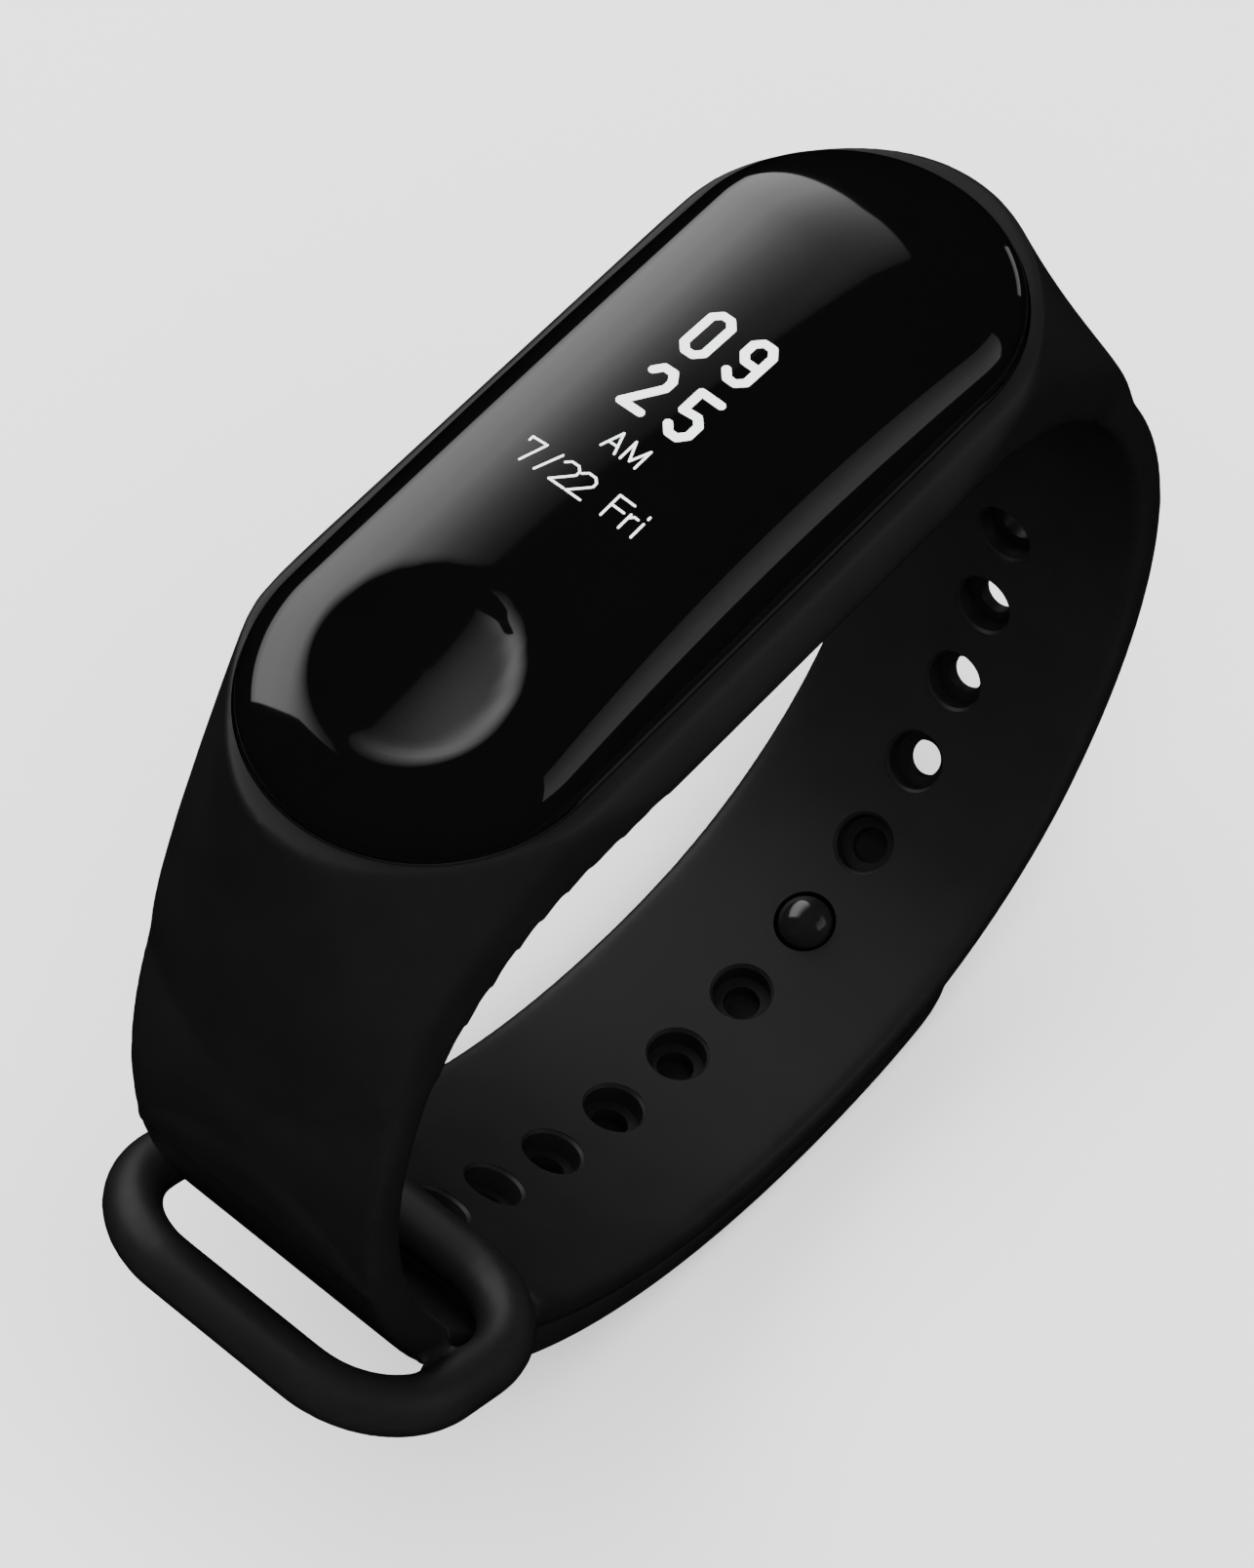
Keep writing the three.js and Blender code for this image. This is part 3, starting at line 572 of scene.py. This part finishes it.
def makeStud(finish):
    shape = studShape
    place = strapWalker(holeShape["first"] + holeShape["clasped"] * holeShape["pitch"])
    nx, nz = place.normal()
    turnOut = (Matrix.Translation((place.x, 0, place.z)) @ Matrix.Rotation(atan2(nx, nz), 4, "Y"))
    tall = shape["capHigh"] - shape["capLow"]
    dome = [(0, shape["capLow"])]
    widest = shape["capLow"] + tall * shape["domeShare"]
    for i in range(1, shape["domeSteps"] + 1):
        turn = pi / 2 * i / shape["domeSteps"]
        dome.append((shape["capRadius"] * sin(turn), widest - tall * shape["domeShare"] * cos(turn)))
    dome += [(shape["capRadius"] * 0.95, shape["capHigh"]), (0, shape["capHigh"])]
    cap = turnedPiece("studHead", dome)
    top = tailLift + bandShape["armThickness"]
    low = top - shape["baseThickness"]
    shank, wide, edge, sink = shape["shank"], shape["base"], shape["edge"], shape["sink"]
    step = wide - shape["rimWidth"]
    base = [(0, shape["shankTop"]), (shank - sink, shape["shankTop"]), (shank, shape["shankTop"] + edge),
            (shank, low), (wide - edge, low), (wide, low + edge), (wide, top - 1.5 * edge),
            (wide - edge / 2, top - edge / 2), (wide - 1.5 * edge, top),
            (step, top), (step - sink, top - sink), (0, top - sink)]
    pin = turnedPiece("studPin", base)
    for piece, node in ((cap, "stud_cap"), (pin, "clasp_stud")):
        piece.data.transform(turnOut)
        smoothShade(piece, 30)
        finishPiece(piece, finish, "clasp_tail", "stud_metal", node)
    print("stud", len(cap.data.polygons) + len(pin.data.polygons), "faces")


coverShape = dict(rise=4.5, arch=110.0, edge=5.4, fullness=2.6, wall=0.7,
                  dishFromEnd=8.1, dishRadius=5.0, dishDepth=0.8, dishBowl=0.86, dishLip=1.0,
                  corners=128, straightCuts=47, edgeRings=14, flatRings=10, spine=0.25)


def coverHeight(x, y):
    # a crowned, rounded section that follows the stadium, arched along its length
    shape = coverShape
    straight = capsuleShape["halfLength"] - capsuleShape["halfWidth"]
    out = min(1, hypot(max(abs(x) - straight, 0), y) / capsuleShape["halfWidth"])
    crown = 1 - x * x / (2 * shape["arch"] * shape["rise"])
    high = shape["rise"] * crown * (1 - out ** shape["fullness"]) ** (1 / shape["fullness"])
    reach = hypot(x + capsuleShape["halfLength"] - shape["dishFromEnd"], y)
    if reach < shape["dishRadius"]:
        share = reach / shape["dishRadius"]
        bowl = 1 - share * share
        lip = easeBetween(0, 1, (shape["dishRadius"] - reach) / shape["dishLip"])
        high -= shape["dishDepth"] * (bowl * shape["dishBowl"] + 1 - shape["dishBowl"]) * lip
    return high


def makeCover(finish):
    shape = coverShape
    halfWidth = capsuleShape["halfWidth"]
    straight = capsuleShape["halfLength"] - halfWidth
    clearSelection()
    bpy.ops.mesh.primitive_circle_add(vertices=shape["corners"], radius=halfWidth,
                                      fill_type="NGON", rotation=(0, 0, pi / shape["corners"]))
    cover = named("gloss_cover_shell")
    bpy.ops.object.transform_apply(location=True, rotation=True, scale=True)
    edit(cover)
    for side in (-1, 1):
        pickVertices(cover, lambda place: place.x * side > 0)
        bpy.ops.transform.translate(value=(side * straight, 0, 0))
    mesh = bmesh.from_edit_mesh(cover.data)
    for line in mesh.edges:
        line.select_set(line.calc_length() > straight)
    bmesh.update_edit_mesh(cover.data)
    bpy.ops.mesh.subdivide(number_cuts=shape["straightCuts"])
    bpy.ops.mesh.select_all(action="SELECT")
    edgeRings, flatRings = shape["edgeRings"], shape["flatRings"]
    insets = [shape["edge"] * (1 - cos(pi / 2 * i / edgeRings)) for i in range(1, edgeRings + 1)]
    level = halfWidth - shape["edge"] - shape["spine"]
    insets += [shape["edge"] + level * i / flatRings for i in range(1, flatRings + 1)]
    reached = 0
    for inset in insets:
        bpy.ops.mesh.inset(thickness=inset - reached, depth=0, use_even_offset=True)
        reached = inset
    bpy.ops.transform.resize(value=(1, 0, 1))
    bpy.ops.mesh.select_all(action="SELECT")
    bpy.ops.mesh.remove_doubles(threshold=0.01)
    bpy.ops.mesh.normals_make_consistent(inside=False)
    objectMode()
    for vertex in cover.data.vertices:
        vertex.co.z = coverHeight(vertex.co.x, vertex.co.y)
    applyModifier(cover, "SUBSURF", levels=1, render_levels=1)
    for vertex in cover.data.vertices:
        if vertex.co.z < 0.01:
            vertex.co.z = 0
    applyModifier(cover, "SOLIDIFY", thickness=shape["wall"], offset=-1)
    smoothShade(cover, 50)
    finishPiece(cover, finish, "tracker", "gloss_cover", "top_cover")
    print("cover", len(cover.data.polygons), "faces")


def makeShell(finish):
    # the lower shell of the capsule, with its arched underside and the raised sensor bump
    shape = capsuleShape
    shell = capsuleHull("lowerShell", 0, 0)
    bumpLength = shape["windowLength"] - shape["bumpFit"]
    bumpWidth = shape["windowWidth"] - shape["bumpFit"]
    bump = stadiumBlock("bump", bumpLength, bumpWidth, shape["bumpLow"], -1)
    carve(shell, "UNION", bump)
    inner = stadiumBlock("inner", shape["halfLength"] - shape["wall"],
                         shape["halfWidth"] - shape["wall"], shape["toolLow"], 1)
    lift = shape["floor"] + shape["fit"] + shape["wall"]
    hollow = carve(capsuleHull("hollow", 0, 1, lift), "INTERSECT", inner,
                   stadiumBlock("depthStop", shape["toolHalf"], shape["toolDepth"],
                                -shape["depth"] + shape["wall"], 2))
    paneLow, paneHigh = (fromFrame(corner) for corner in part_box("sensor_window"))
    room = stadiumBlock("room", bumpLength - shape["wall"], bumpWidth - shape["wall"], paneHigh.z, 1)
    clearSelection()
    bpy.ops.mesh.primitive_cube_add(size=1, location=(0, 0, paneLow.z))
    pane = named("paneTool")
    pane.scale = (paneHigh.x - paneLow.x + shape["paneFit"], paneHigh.y - paneLow.y + shape["paneFit"], 2)
    bpy.ops.object.transform_apply(location=True, rotation=True, scale=True)
    edit(pane)
    mesh = bmesh.from_edit_mesh(pane.data)
    for line in mesh.edges:
        line.select_set(abs(line.verts[0].co.z - line.verts[1].co.z) > 1)
    bmesh.update_edit_mesh(pane.data)
    bpy.ops.mesh.bevel(offset=shape["paneRound"], segments=3, affect="EDGES")
    objectMode()
    carve(shell, "DIFFERENCE", hollow, room, pane)
    for node in frame["nodes"]:
        if "contact" in node and "post" not in node:
            low, high = (fromFrame(corner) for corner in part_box(node))
            clearSelection()
            bpy.ops.mesh.primitive_cylinder_add(
                vertices=32, radius=(high.x - low.x) / 2 + shape["boreFit"], depth=6,
                location=((low.x + high.x) / 2, (low.y + high.y) / 2, -1.5))
            carve(shell, "DIFFERENCE", named("contactBore"))
    applyModifier(shell, "BEVEL", width=shape["edge"], segments=3, limit_method="ANGLE",
                  angle_limit=radians(50), use_clamp_overlap=True)
    smoothShade(shell, 35)
    finishPiece(shell, finish, "tracker", "shell_plastic", "bottom_shell")
    print("lower shell", len(shell.data.polygons), "faces")


# centrelines of the characters, across and up, each in a cell one wide and one tall
strokes = {
    "0": [[(0.3, 0), (0, 0.14), (0, 0.86), (0.3, 1), (0.7, 1), (1, 0.86), (1, 0.14), (0.7, 0),
           (0.3, 0)]],
    "2": [[(0, 0.84), (0.28, 1), (0.75, 1), (1, 0.84), (1, 0.66), (0.8, 0.52), (0, 0), (1, 0)]],
    "5": [[(1, 1), (0.02, 1), (0.02, 0.52), (0.7, 0.55), (1, 0.42), (1, 0.16), (0.7, 0), (0.3, 0),
           (0, 0.14)]],
    "7": [[(0, 0.83), (0, 1), (1, 1), (0.42, 0)]],
    "9": [[(0, 0.14), (0.3, 0), (0.7, 0), (1, 0.14), (1, 0.84), (0.72, 1), (0.28, 1), (0, 0.86), (0, 0.62),
           (0.28, 0.48), (0.98, 0.48)]],
    "/": [[(0, 0), (0.65, 1)]],
    "A": [[(0, 0), (0.46, 1), (0.92, 0)], [(0.16, 0.34), (0.78, 0.34)]],
    "M": [[(0, 0), (0, 1), (0.5, 0.12), (1, 1), (1, 0)]],
    "F": [[(0, 0), (0, 1), (1, 1)], [(0, 0.55), (0.85, 0.55)]],
    "r": [[(0, 0), (0, 0.66)], [(0, 0.48), (0.22, 0.66), (0.48, 0.66)]],
    "i": [[(0, 0), (0, 0.66)], [(0, 0.9), (0, 1)]],
}

# each line gives its characters with the left edge of each, its foot, its cell and its stroke
readout = dict(
    lines=[dict(words="09", starts=(-2.06, 0.43), foot=5.02, wide=1.16, tall=2.7, stroke=0.46),
           dict(words="25", starts=(-2.06, 0.43), foot=0.94, wide=1.16, tall=2.7, stroke=0.46),
           dict(words="AM", starts=(-1.08, 0.05), foot=-1.55, wide=0.86, tall=1.15, stroke=0.12),
           dict(words="7/22Fri", starts=(-3.79, -2.56, -1.69, -0.7, 1.37, 2.4, 3.13), foot=-4.4,
                wide=0.86, tall=1.34, stroke=0.12)],
    corner=1.04, lift=0.02, thickness=0.012,
)


def strokePieces(line, start, points):
    # one pen stroke, as a flat bar along each stretch and an octagon at each corner
    half = line["stroke"] / 2
    places = [Vector((start + x * line["wide"], line["foot"] + y * line["tall"], 0)) for x, y in points]
    pieces = []
    for first, last in zip(places, places[1:]):
        run = last - first
        clearSelection()
        bpy.ops.mesh.primitive_plane_add(size=1)
        bar = named("stroke")
        turned = Matrix.Rotation(atan2(run.y, run.x), 4, "Z")
        bar.data.transform(Matrix.Translation((first + last) / 2) @ turned
                           @ Matrix.Diagonal((run.length, 2 * half, 1, 1)))
        pieces.append(bar)
    for place in places:
        clearSelection()
        bpy.ops.mesh.primitive_circle_add(vertices=8, radius=half * readout["corner"], fill_type="NGON",
                                          rotation=(0, 0, pi / 8))
        corner = named("stroke")
        bpy.ops.object.transform_apply(location=True, rotation=True, scale=True)
        corner.data.transform(Matrix.Translation(place))
        pieces.append(corner)
    return pieces


def makeReadout(finish):
    # the lit clock and date, laid just over the cover
    pieces = []
    for line in readout["lines"]:
        for word, start in zip(line["words"], line["starts"]):
            for points in strokes[word]:
                pieces += strokePieces(line, start, points)
    text = joined("clockReadout", *pieces)
    text.data.transform(Matrix.Rotation(-pi / 2, 4, "Z"))
    edit(text)
    bpy.ops.mesh.extrude_region_move(
        TRANSFORM_OT_translate={"value": (0, 0, readout["thickness"])})
    bpy.ops.mesh.select_all(action="SELECT")
    bpy.ops.mesh.normals_make_consistent(inside=False)
    objectMode()
    for vertex in text.data.vertices:
        vertex.co.z += coverHeight(vertex.co.x, vertex.co.y) + readout["lift"]
    finishPiece(text, finish, "tracker", "display_panel")
    print("readout", len(text.data.polygons), "faces")


class Signal:
    # a shader socket that takes part in Python sums
    def __init__(self, finish, socket):
        self.finish, self.socket = finish, socket

    def work(self, operation, other):
        return self.finish.add("ShaderNodeMath", {"operation": operation}, {0: self, 1: other})["Value"]

    def __add__(self, other):
        return self.work("ADD", other)

    def __mul__(self, other):
        return self.work("MULTIPLY", other)


def setStops(ramp, stops):
    while len(ramp.elements) < len(stops):
        ramp.elements.new(0.5)
    for element, (position, tone) in zip(ramp.elements, stops):
        element.position = position
        element.color = (tone, tone, tone, 1)


class Finish:
    def __init__(self, name, **constants):
        self.material = bpy.data.materials.new(name)
        self.material.use_nodes = True
        self.tree = self.material.node_tree
        self.tree.nodes.clear()
        self.shader = self.tree.nodes.new("ShaderNodeBsdfPrincipled")
        for key, value in constants.items():
            self.shader.inputs[key.replace("_", " ")].default_value = value
        output = self.tree.nodes.new("ShaderNodeOutputMaterial")
        self.tree.links.new(self.shader.outputs[0], output.inputs[0])
        self.place = self.add("ShaderNodeTexCoord", {}, {})["Object"]

    def add(self, kind, settings, inputs):
        node = self.tree.nodes.new(kind)
        for key, value in settings.items():
            if key == "stops":
                setStops(node.color_ramp, value)
            else:
                setattr(node, key, value)
        for key, value in inputs.items():
            if isinstance(value, Signal):
                self.tree.links.new(value.socket, node.inputs[key])
            else:
                node.inputs[key].default_value = value
        return {socket.name: Signal(self, socket) for socket in node.outputs if socket.enabled}

    def noise(self, scale, detail):
        return self.add("ShaderNodeTexNoise", {},
                        {"Vector": self.place, "Scale": scale, "Detail": detail})["Fac"]

    def tint(self, share, first, second):
        return self.add("ShaderNodeMix", {"data_type": "RGBA"},
                        {0: share, 6: (*first, 1), 7: (*second, 1)})["Result"]

    def feed(self, name, signal):
        self.tree.links.new(signal.socket, self.shader.inputs[name])

    def bump(self, height, strength, distance):
        bumped = self.add("ShaderNodeBump", {}, {"Strength": strength, "Distance": distance,
                                                 "Height": height})["Normal"]
        self.feed("Normal", bumped)


grainFineness = 14


def grained(name, dark, light, rough, spread, scale, bump=0.0, **constants):
    # colour and roughness drift over the surface, with a fine grain on top
    finish = Finish(name, **constants)
    drift = finish.noise(scale, 4)
    grain = finish.noise(scale * grainFineness, 2)
    finish.feed("Base Color", finish.tint(drift * 0.6 + grain * 0.4, dark, light))
    finish.feed("Roughness", drift * spread + grain * (spread * 0.5) + (rough - spread * 0.75))
    if bump:
        finish.bump(grain * 0.7 + drift * 0.3, bump, 0.00002)
    return finish


siliconeLook = dict(dark=(0.0035, 0.0035, 0.0037), light=(0.0068, 0.0068, 0.0071), rough=0.5,
                    spread=0.12, scale=260, bump=0.16, Specular_IOR_Level=0.26)
coverLook = dict(dark=(0.0012, 0.0012, 0.0013), light=(0.002, 0.002, 0.0021), rough=0.045,
                 spread=0.02, scale=120, bump=0.0)
studLook = dict(dark=(0.003, 0.003, 0.0033), light=(0.008, 0.008, 0.0084), rough=0.12,
                spread=0.05, scale=900, bump=0.03)
shellLook = dict(dark=(0.009, 0.009, 0.0095), light=(0.014, 0.014, 0.0145), rough=0.42,
                 spread=0.1, scale=500, bump=0.2)
glow = dict(dim=(0.72, 0.74, 0.76), bright=(0.82, 0.84, 0.86), strength=0.9)


def readoutFinish():
    finish = Finish("litSegments", Roughness=0.4)
    patch = finish.noise(900, 2)
    tone = finish.tint(patch, glow["dim"], glow["bright"])
    finish.feed("Base Color", tone)
    finish.feed("Emission Color", tone)
    finish.shader.inputs["Emission Strength"].default_value = glow["strength"]
    return finish.material


boardLook = dict(mask=(0.008, 0.07, 0.03), track=(0.03, 0.17, 0.08), cells=900,
                 edge=[(0.05, 0.0), (0.09, 1.0)])


def boardFinish():
    # solder mask with lighter tracks between its cells
    look = boardLook
    finish = Finish("solderMask", IOR=1.5)
    cells = finish.add("ShaderNodeTexVoronoi",
                       {"distance": "CHEBYCHEV", "feature": "DISTANCE_TO_EDGE"},
                       {"Vector": finish.place, "Scale": look["cells"]})["Distance"]
    track = finish.add("ShaderNodeValToRGB", {"stops": look["edge"]}, {"Fac": cells})["Color"]
    drift = finish.noise(400, 3)
    finish.feed("Base Color", finish.tint(track * 0.7 + drift * 0.3, look["track"], look["mask"]))
    finish.feed("Roughness", drift * 0.2 + 0.35)
    finish.bump(track, 0.2, 0.00003)
    return finish.material


innerLooks = {
    "seal_foam": dict(dark=(0.04, 0.04, 0.044), light=(0.09, 0.09, 0.095), rough=0.9,
                      spread=0.1, scale=1500, bump=0.5),
    "flex_film": dict(dark=(0.36, 0.14, 0.03), light=(0.52, 0.24, 0.06), rough=0.35,
                      spread=0.15, scale=400, bump=0.1),
    "gold_contact": dict(dark=(0.7, 0.48, 0.18), light=(0.85, 0.64, 0.3), rough=0.26,
                         spread=0.14, scale=1800, bump=0.08, Metallic=1.0),
    "battery_foil": dict(dark=(0.55, 0.56, 0.58), light=(0.72, 0.73, 0.75), rough=0.36,
                         spread=0.16, scale=250, bump=0.3, Metallic=0.9),
    "chip_resin": dict(dark=(0.02, 0.02, 0.02), light=(0.04, 0.04, 0.041), rough=0.5,
                       spread=0.14, scale=1200, bump=0.3),
    "bright_steel": dict(dark=(0.5, 0.51, 0.52), light=(0.66, 0.67, 0.68), rough=0.28,
                         spread=0.14, scale=700, bump=0.1, Metallic=1.0),
    "tungsten": dict(dark=(0.34, 0.34, 0.36), light=(0.48, 0.48, 0.5), rough=0.45,
                     spread=0.16, scale=1400, bump=0.3, Metallic=1.0),
    "led_lens": dict(dark=(0.12, 0.5, 0.2), light=(0.26, 0.7, 0.36), rough=0.14,
                     spread=0.08, scale=900),
    "sensor_glass": dict(dark=(0.006, 0.0065, 0.007), light=(0.012, 0.013, 0.015), rough=0.06,
                         spread=0.04, scale=300),
    "display_panel": dict(dark=(0.006, 0.006, 0.008), light=(0.014, 0.014, 0.017), rough=0.16,
                          spread=0.06, scale=500),
    "shell_plastic": shellLook,
}


def dressInnerParts():
    # every CAD node that is still shown gets the finish of its slot
    finishes = {slot: grained(slot + "_finish", **look).material for slot, look in innerLooks.items()}
    finishes["circuit_board"] = boardFinish()
    count = 0
    for part in frame["record"]["subparts"]:
        node, slot = part["node"], part["material_slot"]
        piece = frame["nodes"][node]
        if piece.hide_render or slot not in finishes:
            continue
        if not piece.material_slots:
            piece.data.materials.append(finishes[slot])
        for place in piece.material_slots:
            place.material = finishes[slot]
        count += 1
    print("inner parts dressed:", count)


studio = dict(
    floorTone=(0.9, 0.9, 0.9), floorDrift=0.98, floorSize=4.0, floorDrop=0.0002,
    eye=(-98.201, -83.414, 244.268), aim=(-5.588, -3.845, 48.424), lens=111.9,
    sensor=36.0, clip=(0.01, 20.0), sky=1.3,
)


def makeFloor():
    clearSelection()
    bpy.ops.mesh.primitive_plane_add(size=studio["floorSize"], location=(0, 0, -studio["floorDrop"]))
    floor = named("studioFloor")
    finish = Finish("paperFloor", Roughness=0.8)
    drift = finish.noise(6, 3)
    darker = [tone * studio["floorDrift"] for tone in studio["floorTone"]]
    finish.feed("Base Color", finish.tint(drift, studio["floorTone"], darker))
    floor.data.materials.append(finish.material)
    floor.visible_glossy = False


def makeCamera():
    clearSelection()
    bpy.ops.object.camera_add(location=Vector(studio["eye"]) * 0.001)
    camera = bpy.context.object
    camera.name = "studioCamera"
    look = Vector(studio["aim"]) - Vector(studio["eye"])
    camera.rotation_mode = "QUATERNION"
    camera.rotation_quaternion = look.to_track_quat("-Z", "Y")
    camera.data.lens = studio["lens"]
    camera.data.sensor_width = studio["sensor"]
    camera.data.clip_start, camera.data.clip_end = studio["clip"]
    bpy.context.scene.camera = camera


# each lamp stands at a place in millimetres from the capsule and faces it; across is the way
# its width runs, and fade gives its brightness from its lower to its upper edge
lamps = {
    "farSoftbox": dict(place=(82, 222, 166), across=(-0.93, 0.15, 0.34), size=(0.42, 0.30),
                       radiance=3.4, mirror=True,
                       fade=[(0.0, 0.45), (0.16, 0.9), (0.4, 1.0), (0.6, 0.9), (0.75, 0.5),
                             (0.86, 0.26), (0.94, 0.12), (1.0, 0.04)]),
    "nearSoftbox": dict(place=(158, -262, 128), across=(0.9, 0.28, -0.32), size=(0.32, 0.21),
                        radiance=0.85, mirror=True,
                        fade=[(0.0, 1.0), (0.4, 0.9), (0.7, 0.6), (1.0, 0.35)]),
    "endCard": dict(place=(350, -25, -32), across=(0, 1, 0), size=(0.10, 0.05), radiance=1.2,
                    fade=[(0.0, 1.0), (1.0, 0.6)], mirror=True),
    "skyPanel": dict(place=(-160, -240, 750), across=(1, 0, 0), size=(0.8, 0.8), radiance=6.0,
                     fade=None, mirror=False),
}


def fadeLamp(light, stops):
    # brightness follows a ramp up the face of the lamp
    light.data.use_nodes = True
    tree = light.data.node_tree
    across = tree.nodes.new("ShaderNodeNewGeometry")
    parts = tree.nodes.new("ShaderNodeSeparateXYZ")
    ramp = tree.nodes.new("ShaderNodeValToRGB")
    setStops(ramp.color_ramp, stops)
    tree.links.new(across.outputs["Parametric"], parts.inputs[0])
    tree.links.new(parts.outputs["Y"], ramp.inputs[0])
    tree.links.new(ramp.outputs["Color"], tree.nodes["Emission"].inputs["Strength"])


def makeLamps():
    for name, lamp in lamps.items():
        clearSelection()
        place = Vector(lamp["place"]) * 0.001
        bpy.ops.object.light_add(type="AREA", location=rim + place)
        light = bpy.context.object
        light.name = name
        back = place.normalized()
        across = Vector(lamp["across"])
        across = (across - back * across.dot(back)).normalized()
        light.rotation_mode = "QUATERNION"
        facing = Matrix((across, back.cross(across), back)).transposed()
        light.rotation_quaternion = facing.to_quaternion()
        light.data.shape = "RECTANGLE"
        light.data.size, light.data.size_y = lamp["size"]
        light.data.energy = lamp["radiance"] * lamp["size"][0] * lamp["size"][1] * pi
        if lamp["fade"]:
            fadeLamp(light, lamp["fade"])
        light.visible_camera = False
        light.visible_glossy = lamp["mirror"]
    world = bpy.context.scene.world or bpy.data.worlds.new("studioSky")
    bpy.context.scene.world = world
    world.use_nodes = True
    sky = world.node_tree.nodes["Background"]
    sky.inputs["Color"].default_value = (1, 1, 1, 1)
    sky.inputs["Strength"].default_value = studio["sky"]
    world.cycles_visibility.glossy = False


makeCamera()
makeFloor()
makeLamps()
silicone = grained("bandSilicone", **siliconeLook).material
makeBand(silicone)
makeTail(silicone)
makeStud(grained("blackenedStud", **studLook).material)
makeCover(grained("pianoBlackCover", **coverLook).material)
makeShell(grained("satinShell", **shellLook).material)
makeReadout(readoutFinish())
dressInnerParts()
